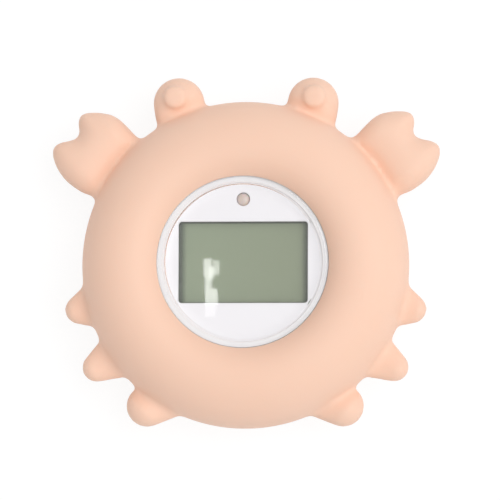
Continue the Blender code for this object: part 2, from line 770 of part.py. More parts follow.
def battery_door():
    size = (DOOR_LENGTH, DOOR_WIDTH, DOOR_THICKNESS)
    place = (0, 0, BACK_RECESS)
    door = rounded_block("battery_door", size, DOOR_CORNER, place, WHITE_ABS, DOOR_CORNER_STEPS)
    places = ((-DOOR_SCREW_OFFSET, 0), (DOOR_SCREW_OFFSET, 0))
    below = BACK_RECESS - OVERSHOOT
    head_top = BACK_RECESS + DOOR_SCREW_HEAD_HEIGHT
    through = BACK_RECESS + DOOR_THICKNESS + OVERSHOOT
    cut(
        door,
        holes("door_holes", places, below, through, DOOR_SCREW_RADIUS + FIT),
        columns("door_head_bores", places, below, head_top + FIT, DOOR_SCREW_HEAD_RADIUS + FIT),
    )
    made = screws(
        "battery_door_screw",
        places,
        BACK_RECESS,
        DOOR_SCREW_RADIUS,
        DOOR_SCREW_HEAD_RADIUS,
        DOOR_SCREW_HEAD_HEIGHT,
        DOOR_SCREW_LENGTH,
    )
    for screw, (x, y) in zip(made, places):
        for label, size in (
            ("across", (DRIVE_SLOT_LENGTH, DRIVE_SLOT_WIDTH, 2 * DRIVE_SLOT_DEPTH)),
            ("along", (DRIVE_SLOT_WIDTH, DRIVE_SLOT_LENGTH, 2 * DRIVE_SLOT_DEPTH)),
        ):
            cut(screw, box(f"{screw.name}_slot_{label}", size, (x, y, BACK_RECESS - DRIVE_SLOT_DEPTH)))
    seal_inner = well_radius + DOOR_SEAL_OFFSET + FIT
    ring(
        "battery_door_seal",
        seal_inner,
        seal_inner + DOOR_SEAL_WIDTH,
        door_seat_z,
        DOOR_SEAL_THICKNESS,
        HOUSING_STEPS,
        SEAL_RUBBER,
    )


def pin_places():
    """The negative pin over its plate, and the positive one beside the cell's edge."""
    return ((NEGATIVE_PIN_X, 0), (-CELL_RADIUS, 0))


def battery():
    cell_profile = [
        (0, CELL_THICKNESS),
        (CELL_RADIUS - 2 * CELL_RIM, CELL_THICKNESS),
        (CELL_RADIUS, CELL_THICKNESS - CELL_RIM),
        (CELL_RADIUS, CELL_RIM),
        (CELL_RADIUS - CELL_RIM, 0),
        (0, 0),
    ]
    turned("coin_cell", cell_profile, DISC_STEPS, STEEL, (0, 0, door_seat_z))
    columns(
        "negative_contact",
        [(0, 0)],
        contact_z,
        contact_z + CONTACT_THICKNESS,
        NEGATIVE_CONTACT_RADIUS,
        NICKEL,
        DISC_STEPS,
    )
    strip_inner = CELL_RADIUS + FIT
    strip = ring(
        "positive_contact",
        strip_inner,
        strip_inner + CONTACT_THICKNESS,
        door_seat_z + CELL_RIM,
        CELL_THICKNESS - CELL_RIM,
        HOUSING_STEPS,
        NICKEL,
    )
    keep = box(
        "positive_contact_length",
        (well_radius, POSITIVE_CONTACT_WIDTH, CELL_THICKNESS + OVERSHOOT),
        (-well_radius, 0, door_seat_z),
    )
    boolean(strip, keep, "INTERSECT")
    feet = (well_ceiling_z, contact_z)
    for name, place, foot in zip(("negative_pin", "positive_pin"), pin_places(), feet):
        columns(name, [place], foot, solder_z, PIN_RADIUS, NICKEL, HOLE_STEPS)


def sensor():
    cap_foot = BACK_RECESS - SENSOR_PROUD
    seal_z = FLOOR_HEIGHT + FIT
    flange_z = seal_z + SENSOR_SEAL_THICKNESS + FIT
    top_z = flange_z + SENSOR_FLANGE_THICKNESS
    bore = SENSOR_RADIUS - SENSOR_WALL
    flange = SENSOR_RADIUS + SENSOR_FLANGE_WIDTH
    cap_profile = [
        (0, cap_foot + SENSOR_WALL),
        (bore, cap_foot + SENSOR_WALL),
        (bore, top_z),
        (flange, top_z),
        (flange, flange_z),
        (SENSOR_RADIUS, flange_z),
        (SENSOR_RADIUS, cap_foot + SENSOR_WALL),
        (SENSOR_RADIUS - SENSOR_WALL, cap_foot),
        (0, cap_foot),
    ]
    place = (0, SENSOR_Y, 0)
    turned("sensor_cap", cap_profile, SMALL_STEPS, STEEL, place)
    seal_inner = SENSOR_RADIUS + FIT
    ring("sensor_seal", seal_inner, flange, seal_z, SENSOR_SEAL_THICKNESS, SMALL_STEPS, SEAL_RUBBER, place)
    shape = bmesh.new()
    bmesh.ops.create_uvsphere(shape, u_segments=HOLE_STEPS, v_segments=LOBE_RINGS, radius=BEAD_RADIUS)
    bead_z = cap_foot + SENSOR_WALL + FIT + BEAD_RADIUS
    bead_place = (0, SENSOR_Y, bead_z)
    bead = add_object("thermistor", mesh_of("thermistor", shape), EPOXY, bead_place)
    leads = [(side * LEAD_SPACING / 2, SENSOR_Y) for side in (-1, 1)]
    join(bead, holes("thermistor_leads", leads, bead_z, solder_z, LEAD_RADIUS))


def water_contacts():
    head_top = WATER_CONTACT_HEAD_HEIGHT
    foot_z = BACK_RECESS - WATER_CONTACT_PROUD
    profile = [
        (0, solder_z - foot_z),
        (WATER_CONTACT_RADIUS, solder_z - foot_z),
        (WATER_CONTACT_RADIUS, head_top),
        (WATER_CONTACT_HEAD_RADIUS, head_top),
        (WATER_CONTACT_HEAD_RADIUS, head_top / 2),
        (WATER_CONTACT_HEAD_RADIUS / 2, 0),
        (0, 0),
    ]
    for number, side in enumerate((-1, 1), start=1):
        place = (side * WATER_CONTACT_X, WATER_CONTACT_Y, foot_z)
        turned(f"water_contact_{number}", profile, SMALL_STEPS, STEEL, place)


def circuit_board():
    board = columns(
        "circuit_board", [(0, 0)], board_z, board_top_z, BOARD_RADIUS, BOARD_GREEN, HOUSING_STEPS
    )
    posts = on_circle(POST_CIRCLE, POST_ANGLES)
    hole = BOARD_SCREW_RADIUS + FIT
    cut(board, holes("board_holes", posts, board_z - OVERSHOOT, board_top_z + OVERSHOOT, hole))
    chip_profile = [
        (0, 0),
        (CHIP_RADIUS, 0),
        (CHIP_RADIUS - CHIP_THICKNESS / 2, -CHIP_THICKNESS / 2),
        (CHIP_RADIUS / 2, -CHIP_THICKNESS),
        (0, -CHIP_THICKNESS),
    ]
    turned("main_chip", chip_profile, SMALL_STEPS, EPOXY, (*CHIP_PLACE, solder_z))
    shape = bmesh.new()
    bmesh.ops.create_cone(
        shape,
        cap_ends=True,
        segments=SMALL_STEPS,
        radius1=CRYSTAL_RADIUS,
        radius2=CRYSTAL_RADIUS,
        depth=CRYSTAL_LENGTH,
        matrix=Matrix.Rotation(math.pi / 2, 4, "Y"),
    )
    add_object("crystal", mesh_of("crystal", shape), STEEL, (*CRYSTAL_PLACE, solder_z - CRYSTAL_RADIUS))
    for name, size, places in (
        ("capacitor", CAPACITOR_SIZE, CAPACITOR_PLACES),
        ("resistor", RESISTOR_SIZE, RESISTOR_PLACES),
    ):
        for number, place in enumerate(places, start=1):
            box(f"{name}_{number}", size, (*place, solder_z - size[2]), CERAMIC)


def display():
    """The display's layers, its holder and the rubber strip that joins it to the board."""
    layer = (GLASS_WIDTH - 2 * POLARISER_INSET, GLASS_HEIGHT - 2 * POLARISER_INSET, POLARISER_THICKNESS)
    box("lcd_rear_polariser", layer, (0, 0, rear_polariser_z), POLARISER)
    box("lcd_rear_glass", (GLASS_WIDTH, GLASS_HEIGHT, GLASS_THICKNESS), (0, 0, rear_glass_z), GLASS)
    front_height = GLASS_HEIGHT + CONTACT_LEDGE
    front_y = -CONTACT_LEDGE / 2
    box("lcd_front_glass", (GLASS_WIDTH, front_height, GLASS_THICKNESS), (0, front_y, front_glass_z), GLASS)
    box("lcd_front_polariser", layer, (0, 0, front_polariser_z), POLARISER)
    around = 2 * (FIT + HOLDER_WALL)
    holder = box(
        "lcd_holder",
        (GLASS_WIDTH + around, front_height + around, holder_top_z - holder_z),
        (0, front_y, holder_z),
        DARK_ABS,
    )
    pocket = box(
        "lcd_pocket",
        (GLASS_WIDTH + 2 * FIT, front_height + 2 * FIT, holder_lip_z - holder_z + OVERSHOOT),
        (0, front_y, holder_z - OVERSHOOT),
    )
    view = box(
        "lcd_view",
        (WINDOW_WIDTH + 2 * HOLDER_REVEAL, WINDOW_HEIGHT + 2 * HOLDER_REVEAL, HOLDER_LIP + 2 * OVERSHOOT),
        (0, 0, holder_lip_z - OVERSHOOT),
    )
    cut(holder, pocket, view)
    ledge_middle = -(GLASS_HEIGHT + CONTACT_LEDGE) / 2
    zebra_height = front_glass_z - FIT - holder_z
    zebra = (ZEBRA_LENGTH, ZEBRA_WIDTH, zebra_height)
    box("zebra_connector", zebra, (0, ledge_middle, holder_z), ZEBRA_RUBBER)


def alarm_led():
    body_z = holder_z + LED_LEAD_LENGTH
    shoulder = LED_HEIGHT - LED_RADIUS
    dome = [
        (LED_RADIUS * math.cos(a), shoulder + LED_RADIUS * math.sin(a))
        for a in (math.radians(60), math.radians(30), 0)
    ]
    profile = [
        (0, LED_HEIGHT),
        *dome,
        (LED_RADIUS, LED_FLANGE_HEIGHT),
        (LED_FLANGE_RADIUS, LED_FLANGE_HEIGHT),
        (LED_FLANGE_RADIUS, 0),
        (0, 0),
    ]
    led = turned("alarm_led", profile, SMALL_STEPS, LED_RESIN, (0, LED_Y, body_z))
    lead = (LED_LEAD_WIDTH, LED_LEAD_WIDTH, LED_LEAD_LENGTH + LED_FLANGE_HEIGHT / 2)
    for side, label in ((-1, "left"), (1, "right")):
        join(led, box(f"led_lead_{label}", lead, (side * LED_LEAD_SPACING, LED_Y, holder_z)))


def face_plate():
    top_z = plate_z + PLATE_THICKNESS
    plate = columns("face_plate", [(0, 0)], plate_z, top_z, PLATE_RADIUS, WHITE_PLATE, steps=COVER_STEPS)
    window = rounded_block(
        "display_window",
        (WINDOW_WIDTH, WINDOW_HEIGHT, PLATE_THICKNESS + 2 * OVERSHOOT),
        WINDOW_CORNER,
        (0, 0, plate_z - OVERSHOOT),
    )
    below = plate_z - OVERSHOOT
    hole = columns("led_hole", [(0, LED_Y)], below, top_z + OVERSHOOT, LED_HOLE_RADIUS, steps=DISC_STEPS)
    return cut(plate, window, hole)


def lens_and_seal():
    ring(
        "lens_seal",
        ledge_radius,
        LENS_RADIUS,
        lens_seal_z,
        LENS_SEAL_THICKNESS,
        COVER_STEPS,
        SEAL_RUBBER,
    )
    step_radius = LENS_RADIUS - LENS_FLANGE_WIDTH
    bevel = quarter(
        (step_radius - LENS_BEVEL_WIDTH, lens_flange_z),
        LENS_BEVEL_WIDTH,
        LENS_CROWN,
        math.pi / 2,
        0,
        BEVEL_STEPS,
    )
    profile = [
        (0, lens_face_z),
        *bevel,
        (LENS_RADIUS, lens_flange_z),
        (LENS_RADIUS, lens_z),
        (0, lens_z),
    ]
    return turned("lens", profile, COVER_STEPS, CLEAR_ACRYLIC)


def settle_parts():
    """Turns each part's modifiers into its mesh, smooth but for its sharp edges."""
    bpy.context.view_layer.update()
    graph = bpy.context.evaluated_depsgraph_get()
    parts = [obj for obj in PARTS.objects if obj.type == "MESH"]
    shaped = {obj: bpy.data.meshes.new_from_object(obj.evaluated_get(graph)) for obj in parts}
    for obj, mesh in shaped.items():
        obj.modifiers.clear()
        mesh.name = obj.name
        obj.data = mesh
        mesh.shade_smooth()
        mesh.set_sharp_from_angle(angle=math.radians(40))


silicone_cover()
front_housing()
rear_housing()
housing_seal()
housing_screws()
board_screws()
battery_door()
battery()
sensor()
water_contacts()
circuit_board()
display()
alarm_led()
face_plate()
lens_and_seal()
settle_parts()
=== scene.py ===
"""Finished pieces of a crab-shaped baby bath thermometer, laid out as a Blender add-on.

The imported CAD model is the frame. Each operator makes one piece or group of like pieces in its place.
All lengths are in metres. +Z is the way the display faces and +Y is towards the crab's eyes.
"""

import math

import bmesh
import bpy
import numpy as np
from bpy.props import FloatProperty, FloatVectorProperty, IntProperty, PointerProperty
from mathutils import Matrix, Vector, geometry


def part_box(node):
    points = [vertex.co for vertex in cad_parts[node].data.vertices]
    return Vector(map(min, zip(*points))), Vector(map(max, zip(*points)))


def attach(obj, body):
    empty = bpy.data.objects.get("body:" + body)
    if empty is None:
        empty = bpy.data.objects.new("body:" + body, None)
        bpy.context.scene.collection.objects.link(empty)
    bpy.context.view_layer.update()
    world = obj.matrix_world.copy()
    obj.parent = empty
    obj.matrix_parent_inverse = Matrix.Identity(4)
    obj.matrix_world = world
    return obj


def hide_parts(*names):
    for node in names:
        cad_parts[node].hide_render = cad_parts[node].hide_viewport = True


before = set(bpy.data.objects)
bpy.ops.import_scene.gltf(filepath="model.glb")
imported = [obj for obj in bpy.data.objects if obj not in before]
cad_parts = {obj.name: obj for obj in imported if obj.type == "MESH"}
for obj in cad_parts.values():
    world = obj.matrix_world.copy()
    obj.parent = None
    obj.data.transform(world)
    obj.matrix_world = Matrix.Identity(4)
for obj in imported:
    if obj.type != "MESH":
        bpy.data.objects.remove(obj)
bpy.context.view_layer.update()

bl_info = {
    "name": "Crab bath thermometer",
    "version": (1, 0, 0),
    "blender": (4, 5, 0),
    "location": "3D View > Sidebar > Thermometer",
    "description": "Makes a crab-shaped silicone bath thermometer around its display module",
    "category": "Object",
}

MM = 0.001
LENS_LOW, LENS_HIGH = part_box("lens")
PLATE_LOW, PLATE_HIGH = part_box("face_plate")
COVER_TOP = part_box("silicone_cover")[1][2]
DOOR_LOW, DOOR_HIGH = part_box("battery_door")
DOOR_LENGTH, DOOR_WIDTH = DOOR_HIGH[0] - DOOR_LOW[0], DOOR_HIGH[1] - DOOR_LOW[1]
AXIS = Vector((0, (LENS_LOW[1] + LENS_HIGH[1]) / 2, 0))
CRISP = math.radians(30)  # steeper edges of cut pieces stay sharp
FIT = 0.3 * MM  # between pieces that touch
SOFT_EDGE = 0.2 * MM

# Cover and float: radii, and heights over the back
EQUATOR = 13.5 * MM  # the float's widest circle
FLAT_RADIUS = 31 * MM  # inside it the back is flat
DOME_RADIUS = 29.5 * MM  # inside it the float slopes to its seat
DISH_START = 22.35 * MM  # inner end of the dish round the lens
DISH_SWEEP = 66  # degrees of its arc
LIP_ROUND = 0.45 * MM
SEAT_HEIGHT = 23.8 * MM
BACK_OPENING = 24.0 * MM
ABOVE_COVER = 30 * MM
PARTING_WIDTH = 0.22 * MM  # line left by the tool
SILICONE_SECOND = (0.985, 0.965, 0.95, 1.0)  # share of the first tone
PATCH_GRAINS = 40  # size of the patches of a finish, in grains

# Lens, gasket and plate. The step and the recess's wall are parallel, so that no dark ring shows
LENS_FLAT = 19.9 * MM
LENS_BEVEL = 0.25 * MM
LENS_BEVEL_FOOT = 20.0 * MM
LENS_STEP_FOOT = 20.94 * MM
LENS_FILLET = 0.2 * MM
LENS_RIM = 0.15 * MM
LENS_RECESS = 0.6 * MM
LENS_RECESS_RIM = 20.615 * MM
GASKET_BORE = 20.15 * MM
PLATE_RISE = 0.42 * MM  # from its flat middle to its edge
PLATE_FLAT = 17.4 * MM
WINDOW_LIP = 0.13 * MM
DISPLAY_RIGHT_SHADE = (0.90, 0.87, 0.85, 1.0)  # share of the tone at its right side: painted shade, darker towards the right
# Colour of the painted shadow at the display's edges
DISPLAY_SHADE = "4C5446"
LIGHT_HOLE = 1.73 * MM
LIGHT_RADIUS = 1.7 * MM
LIGHT_FLANGE = 1.9 * MM
LIGHT_LEAD = 2.3 * MM
LIGHT_LEAD_X = 1.27 * MM

# Back of the float. Places and bores are in millimetres
SHELL_BACK = 2.5 * MM
SHELL_WALL = 2 * MM
SHELL_FLOOR = 4.5 * MM
BACK_ROUND = 0.35 * MM
DOOR_CORNER = 12 * MM
SCREW_X = 15.5
CONTACT_X = 7
BACK_ROW = 18
BACK_BORES = (
    (0, -BACK_ROW, 2.9),
    (-CONTACT_X, BACK_ROW, 1.9),
    (CONTACT_X, BACK_ROW, 1.9),
    (-SCREW_X, 0, 1.4),
    (SCREW_X, 0, 1.4),
)
RECESS_HALF = 1.15 * MM  # half of a screw's cross recess
RECESS_WING = 0.26 * MM  # half its width

# Stage, for a picture of this many pixels
PICTURE = 500
PIXELS_PER_METRE = 3872
CAMERA_SHIFT = (4.4, 15.1)  # in pixels
KEY_PLACE = (1.0, 0.05, 1.8)
KEY_ANGLE = math.radians(52)
FLOOR_RADIUS = 4.0


def linear(code):
    """Linear red, green, blue and alpha of an sRGB hex code."""
    parts = [int(code[i : i + 2], 16) / 255 for i in (0, 2, 4)]
    return (*[c / 12.92 if c <= 0.04045 else ((c + 0.055) / 1.055) ** 2.4 for c in parts], 1.0)


class CoverSettings(bpy.types.PropertyGroup):
    """Sizes and colours of the silicone cover."""

    body_radius: FloatProperty(
        name="Body radius", description="Widest circle of the round body", default=0.0423, unit="LENGTH"
    )
    height: FloatProperty(
        name="Height", description="Top of the body's ring", default=COVER_TOP, unit="LENGTH"
    )
    equator: FloatProperty(
        name="Equator height", description="Height of the widest circle", default=0.0135, unit="LENGTH"
    )
    crown_radius: FloatProperty(
        name="Crown radius", description="Circle along the top of the ring", default=0.0295, unit="LENGTH"
    )
    lip_radius: FloatProperty(
        name="Lip radius", description="Edge of the cover round the lens", default=0.02217, unit="LENGTH"
    )
    lip_height: FloatProperty(
        name="Lip height", description="Top of the cover at the lens", default=0.0245, unit="LENGTH"
    )
    claw_half_thickness: FloatProperty(
        name="Claw half thickness", description="At the palm", default=0.0056, unit="LENGTH"
    )
    voxel: FloatProperty(
        name="Voxel", description="Size of the faces of the moulded form", default=0.00055, unit="LENGTH"
    )
    fillet_rounds: IntProperty(
        name="Fillet rounds", description="Passes that fill the creases between the lobes", default=26
    )
    colour: FloatVectorProperty(
        name="Silicone colour",
        description="Peach pigment",
        size=4,
        default=linear("FAD2BB"),
        subtype="COLOR",
    )


class ModuleSettings(bpy.types.PropertyGroup):
    """Sizes and colours of the display module."""

    window_width: FloatProperty(
        name="Window width", description="Opening of the face plate", default=0.0333, unit="LENGTH"
    )
    window_height: FloatProperty(
        name="Window height", description="Opening of the face plate", default=0.0210, unit="LENGTH"
    )
    window_corner: FloatProperty(
        name="Window corner", description="Radius of its corners", default=0.0009, unit="LENGTH"
    )
    light_y: FloatProperty(
        name="Light position", description="From the lens's axis", default=0.01625, unit="LENGTH"
    )
    lens_step: FloatProperty(
        name="Lens step", description="Height of the lens's face over its rim", default=0.00065, unit="LENGTH"
    )
    plate_colour: FloatVectorProperty(
        name="Plate colour", description="White ABS", size=4, default=linear("F1F0F4"), subtype="COLOR"
    )
    display_colour: FloatVectorProperty(
        name="Display colour",
        description="Reflective film seen through the polarisers",
        size=4,
        default=linear("879379"),
        subtype="COLOR",
    )


class StageSettings(bpy.types.PropertyGroup):
    """Camera and light."""

    azimuth: FloatProperty(
        name="Camera azimuth", default=math.radians(40.5), subtype="ANGLE", description="From -Y towards +X"
    )
    elevation: FloatProperty(
        name="Camera elevation", default=math.radians(83.4), subtype="ANGLE", description="Over the floor"
    )
    distance: FloatProperty(
        name="Camera distance", description="From the body's middle", default=1.5, unit="LENGTH"
    )
    roll: FloatProperty(
        name="Camera roll", default=math.radians(0.2), subtype="ANGLE", description="About its own axis"
    )
    key_strength: FloatProperty(name="Key strength", description="Soft light from the right", default=1.39)
    sky_strength: FloatProperty(name="Sky strength", description="Even light from all round", default=0.6)


class ThermometerSettings(bpy.types.PropertyGroup):
    """All settings of the thermometer."""

    cover: PointerProperty(type=CoverSettings)
    module: PointerProperty(type=ModuleSettings)
    stage: PointerProperty(type=StageSettings)


def settings():
    return bpy.context.scene.thermometer


def add(tree, kind, inputs=None, **values):
    """Adds a node with its own values, and its inputs set to a number or linked to a socket."""
    made = tree.nodes.new(kind)
    for key, value in values.items():
        setattr(made, key, value)
    for key, value in (inputs or {}).items():
        if isinstance(value, bpy.types.NodeSocket):
            tree.links.new(value, made.inputs[key])
        else:
            made.inputs[key].default_value = value
    return made


def new_material(name):
    """An empty node material, its tree and the Object coordinates."""
    material = bpy.data.materials.new(name)
    material.use_nodes = True
    tree = material.node_tree
    tree.nodes.clear()
    return material, tree, add(tree, "ShaderNodeTexCoord").outputs["Object"]


def shaded(material, shader):
    """Closes a material with its last shader, or with a plastic or metal of these inputs."""
    tree = material.node_tree
    if isinstance(shader, dict):
        shader = add(tree, "ShaderNodeBsdfPrincipled", shader)
    add(tree, "ShaderNodeOutputMaterial", {"Surface": shader.outputs[0]})
    return material


def noise(tree, place, scale, detail):
    """Cloudy values between 0 and 1. scale is in clouds per metre."""
    return add(tree, "ShaderNodeTexNoise", {"Vector": place, "Scale": scale, "Detail": detail}).outputs["Fac"]


def blend(tree, share, first, second, **values):
    """A colour between first, where the share is 0, and second, where it is 1."""
    mixed = add(tree, "ShaderNodeMix", {0: share, 6: first, 7: second}, data_type="RGBA", **values)
    return mixed.outputs[2]


def ranged(tree, value, given, wanted, **values):
    """A value taken from one range to another."""
    low, high = given
    inputs = {"Value": value, "From Min": low, "From Max": high, "To Min": wanted[0], "To Max": wanted[1]}
    return add(tree, "ShaderNodeMapRange", inputs, **values).outputs["Result"]


def largest(tree, value, *others):
    """The largest of some values."""
    for other in others:
        value = add(tree, "ShaderNodeMath", {0: value, 1: other}, operation="MAXIMUM").outputs[0]
    return value


def bumped(tree, height, strength, depth, **inputs):
    """Surface directions of a relief with this depth in metres."""
    inputs.update(Height=height, Strength=strength, Distance=depth)
    return add(tree, "ShaderNodeBump", inputs).outputs["Normal"]


def surface(name, colour, second, grain, roughness, bump, extra=None):
    """A finish with two tones in patches, a fine grain in its relief and an uneven gloss.

    grain is the size of the relief in metres, roughness a low and a high value, bump its depth in metres.
    """
    material, tree, place = new_material(name)
    patches = noise(tree, place, 1 / (PATCH_GRAINS * grain), 3.0)
    fine = noise(tree, place, 1 / grain, 2.0)
    inputs = {
        "Base Color": blend(tree, patches, colour, second),
        "Roughness": ranged(tree, patches, (0.0, 1.0), roughness),
        "Normal": bumped(tree, fine, 0.5, bump),
        **(extra or {}),
    }
    return shaded(material, inputs)


def plain(name, first, second, grain, roughness, bump, extra=None):
    """A finish from two hex colours, with the size and depth of its grain in millimetres."""
    return surface(name, linear(first), linear(second), grain * MM, roughness, bump * MM, extra)


def steel_finish(name, first, second, roughness):
    """Stainless steel, turned or headed cold, with faint uneven gloss."""
    return plain(name, first, second, 0.08, roughness, 0.002, {"Metallic": 1.0})


def abs_finish(name):
    """White ABS moulded with a fine spark-eroded texture."""
    return plain(name, "EEEEEF", "E8E8EA", 0.3, (0.36, 0.48), 0.015)


def silicone_finish():
    """Platinum-cured silicone, moulded in a sand-blasted steel tool.

    It is matt and a little waxy, light goes a millimetre or two into it, and the two halves of the
    tool leave a hair-thin line along the widest circle.
    """
    cover = settings().cover
    material, tree, place = new_material("moulded_silicone")
    patches = noise(tree, place, 60.0, 3.0)
    fine = noise(tree, place, 1 / (0.35 * MM), 2.0)
    second = tuple(c * k for c, k in zip(cover.colour, SILICONE_SECOND))
    height = add(tree, "ShaderNodeSeparateXYZ", {"Vector": place}).outputs["Z"]
    off_line = add(tree, "ShaderNodeMath", {0: height, 1: cover.equator}, operation="SUBTRACT").outputs[0]
    off_line = add(tree, "ShaderNodeMath", {0: off_line}, operation="ABSOLUTE").outputs[0]
    line = ranged(tree, off_line, (0.0, PARTING_WIDTH), (1.0, 0.0), interpolation_type="SMOOTHSTEP")
    grain = bumped(tree, fine, 0.25, 0.02 * MM)
    inputs = {
        "Base Color": blend(tree, patches, tuple(cover.colour), second),
        "Roughness": ranged(tree, patches, (0.0, 1.0), (0.5, 0.62)),
        "Normal": bumped(tree, line, 0.6, 0.08 * MM, Normal=grain),
        "IOR": 1.41,
        "Subsurface Weight": 0.1,
        "Subsurface Radius": (1.0, 0.65, 0.5),
        "Subsurface Scale": 1.2 * MM,
        "Sheen Weight": 0.08,
        "Sheen Roughness": 0.5,
    }
    return shaded(material, inputs)


def clear(name, ior, roughness, tint):
    """A clear moulding. Light that falls on what lies under it passes straight through."""
    material, tree, place = new_material(name)
    inputs = {
        "Base Color": tint,
        "Roughness": roughness,
        "IOR": ior,
        "Transmission Weight": 1.0,
        "Normal": bumped(tree, noise(tree, place, 90.0, 1.0), 0.05, 0.02 * MM),
    }
    glass = add(tree, "ShaderNodeBsdfPrincipled", inputs).outputs[0]
    straight = add(tree, "ShaderNodeBsdfTransparent").outputs[0]
    path = add(tree, "ShaderNodeLightPath").outputs
    passing = largest(tree, path["Is Shadow Ray"], path["Is Diffuse Ray"])
    mixed = add(tree, "ShaderNodeMixShader", {0: passing, 1: glass, 2: straight})
    return shaded(material, mixed)


def display_finish():
    """A reflective twisted-nematic display: a grey green film with a fine speckle under a satin polariser.

    Painted shade darkens it towards its right side, and a painted shadow of the window's walls darkens its
    edges.
    """
    colour = settings().module.display_colour
    material, tree, place = new_material("reflective_display_film")
    split = add(tree, "ShaderNodeSeparateXYZ", {"Vector": place})
    across, along = split.outputs["X"], split.outputs["Y"]
    # Painted shade: the film grows darker from its left side to its right side
    painted_shade_across = ranged(tree, across, (-16.0 * MM, 16.0 * MM), (0.0, 1.0))
    right = tuple(c * k for c, k in zip(colour, DISPLAY_RIGHT_SHADE))
    tone = blend(tree, painted_shade_across, tuple(colour), right)
    speckle = ranged(tree, noise(tree, place, 1 / (0.5 * MM), 2.0), (0.3, 0.7), (0.96, 1.04))
    film = blend(tree, 1.0, tone, speckle, blend_type="MULTIPLY")
    # Painted shadow of the window's walls: a soft dark band inside each edge, widest at the left and right
    painted_wall_shadows = [
        ranged(tree, value, (edge, edge - inward), (1.0, 0.0), interpolation_type="SMOOTHSTEP")
        for value, edge, inward in (
            (along, AXIS.y + 10.35 * MM, 0.35 * MM),
            (along, AXIS.y - 10.4 * MM, -0.5 * MM),
            (across, -16.4 * MM, -2.0 * MM),
            (across, 16.9 * MM, 2.5 * MM),
        )
    ]
    # The painted shadow darkens the film towards DISPLAY_SHADE
    shade = blend(tree, largest(tree, *painted_wall_shadows), film, linear(DISPLAY_SHADE))
    return shaded(material, {"Base Color": shade, "Roughness": 0.42, "IOR": 1.45})


def settled(obj):
    """The mesh of an object with its modifiers carried out. The object goes."""
    graph = bpy.context.evaluated_depsgraph_get()
    mesh = bpy.data.meshes.new_from_object(obj.evaluated_get(graph))
    bpy.data.objects.remove(obj, do_unlink=True)
    return mesh


def holder_of(name, mesh):
    obj = bpy.data.objects.new(name, mesh)
    bpy.context.scene.collection.objects.link(obj)
    return obj


def mesh_of(shape, name="shape"):
    mesh = bpy.data.meshes.new(name)
    shape.to_mesh(mesh)
    shape.free()
    return mesh


def paint(mesh, material):
    mesh.materials.clear()
    mesh.materials.append(material)


def put(name, mesh, material, slot, *nodes, angle=math.radians(38)):
    """Places a finished piece, smooth but for its edges, on the part's one body."""
    mesh.transform(Matrix.Translation(AXIS))
    mesh.name = name
    paint(mesh, material)
    mesh.shade_smooth()
    mesh.set_sharp_from_angle(angle=angle)
    obj = holder_of(name, mesh)
    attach(obj, "root")
    if nodes:
        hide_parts(*nodes)


def arc(centre, across, up, start, end, steps):
    """Points on an ellipse, both ends included. Angles in degrees from the outward direction."""
    for step in range(steps + 1):
        angle = math.radians(start + (end - start) * step / steps)
        yield centre[0] + across * math.cos(angle), centre[1] + up * math.sin(angle)


def fillet(centre, radius, start, end, steps):
    """Points on a circle, as for an ellipse."""
    return arc(centre, radius, radius, start, end, steps)


def section(height, *points):
    """Points of a turned profile in millimetres, from the axis and from this height."""
    return [(across * MM, height + up * MM) for across, up in points]


def turned(profile, steps, closed=False):
    """A turned shape about the origin's axis. Its profile runs down the outer side."""
    shape = bmesh.new()
    turns = [2 * math.pi * i / steps for i in range(steps)]
    rings = []
    for radius, height in profile:
        used = turns if radius > 1e-7 else turns[:1]
        rings.append([shape.verts.new((radius * math.cos(a), radius * math.sin(a), height)) for a in used])
    pairs = list(zip(rings, rings[1:]))
    if closed:
        pairs.append((rings[-1], rings[0]))
    for upper, lower in pairs:
        for i in range(steps):
            j = (i + 1) % steps
            corners = ((upper, i), (lower, i), (lower, j), (upper, j))
            unique = list(dict.fromkeys(ring[k % len(ring)] for ring, k in corners))
            if len(unique) > 2:
                shape.faces.new(unique)
    return shape


def rounded_outline(width, height, corner, steps):
    """Corners of a rounded rectangle, anticlockwise."""
    points = []
    for sign_x, sign_y, start in ((1, 1, 0), (-1, 1, 90), (-1, -1, 180), (1, -1, 270)):
        centre = (sign_x * (width / 2 - corner), sign_y * (height / 2 - corner))
        points.extend(fillet(centre, corner, start, start + 90, steps))
    return points


def prism(outline, levels):
    """A closed upright shape. Each level gives its height and how far its outline is drawn in."""
    shape = bmesh.new()
    rings = []
    count = len(outline)
    for height, inset in levels:
        ring = []
        for i, (x, y) in enumerate(outline):
            before, after = outline[i - 1], outline[(i + 1) % count]
            run = Vector((after[0] - before[0], after[1] - before[1])).normalized()
            ring.append(shape.verts.new((x - run.y * inset, y + run.x * inset, height)))
        rings.append(ring)
    for low, high in zip(rings, rings[1:]):
        for i in range(count):
            j = (i + 1) % count
            shape.faces.new((low[i], low[j], high[j], high[i]))
    shape.faces.new(rings[0][::-1])
    shape.faces.new(rings[-1])
    return shape


def cut(mesh, cutters, solver="EXACT"):
    """Cuts each of these shapes out of a mesh."""
    obj = holder_of("uncut", mesh)
    tools = []
    for shape in cutters:
        tool = holder_of("tool", mesh_of(shape))
        tools.append(tool)
        modifier = obj.modifiers.new("Cut", "BOOLEAN")
        modifier.operation = "DIFFERENCE"
        modifier.solver = solver
        modifier.object = tool
    bpy.context.view_layer.update()
    made = settled(obj)
    for tool in tools:
        bpy.data.objects.remove(tool, do_unlink=True)
    return made


def moved(shape, x=0, y=0):
    bmesh.ops.translate(shape, vec=(x, y, 0), verts=shape.verts)
    return shape


def absorb(shape, part):
    """Adds one bmesh to another."""
    mesh = mesh_of(part)
    shape.from_mesh(mesh)
    bpy.data.meshes.remove(mesh)


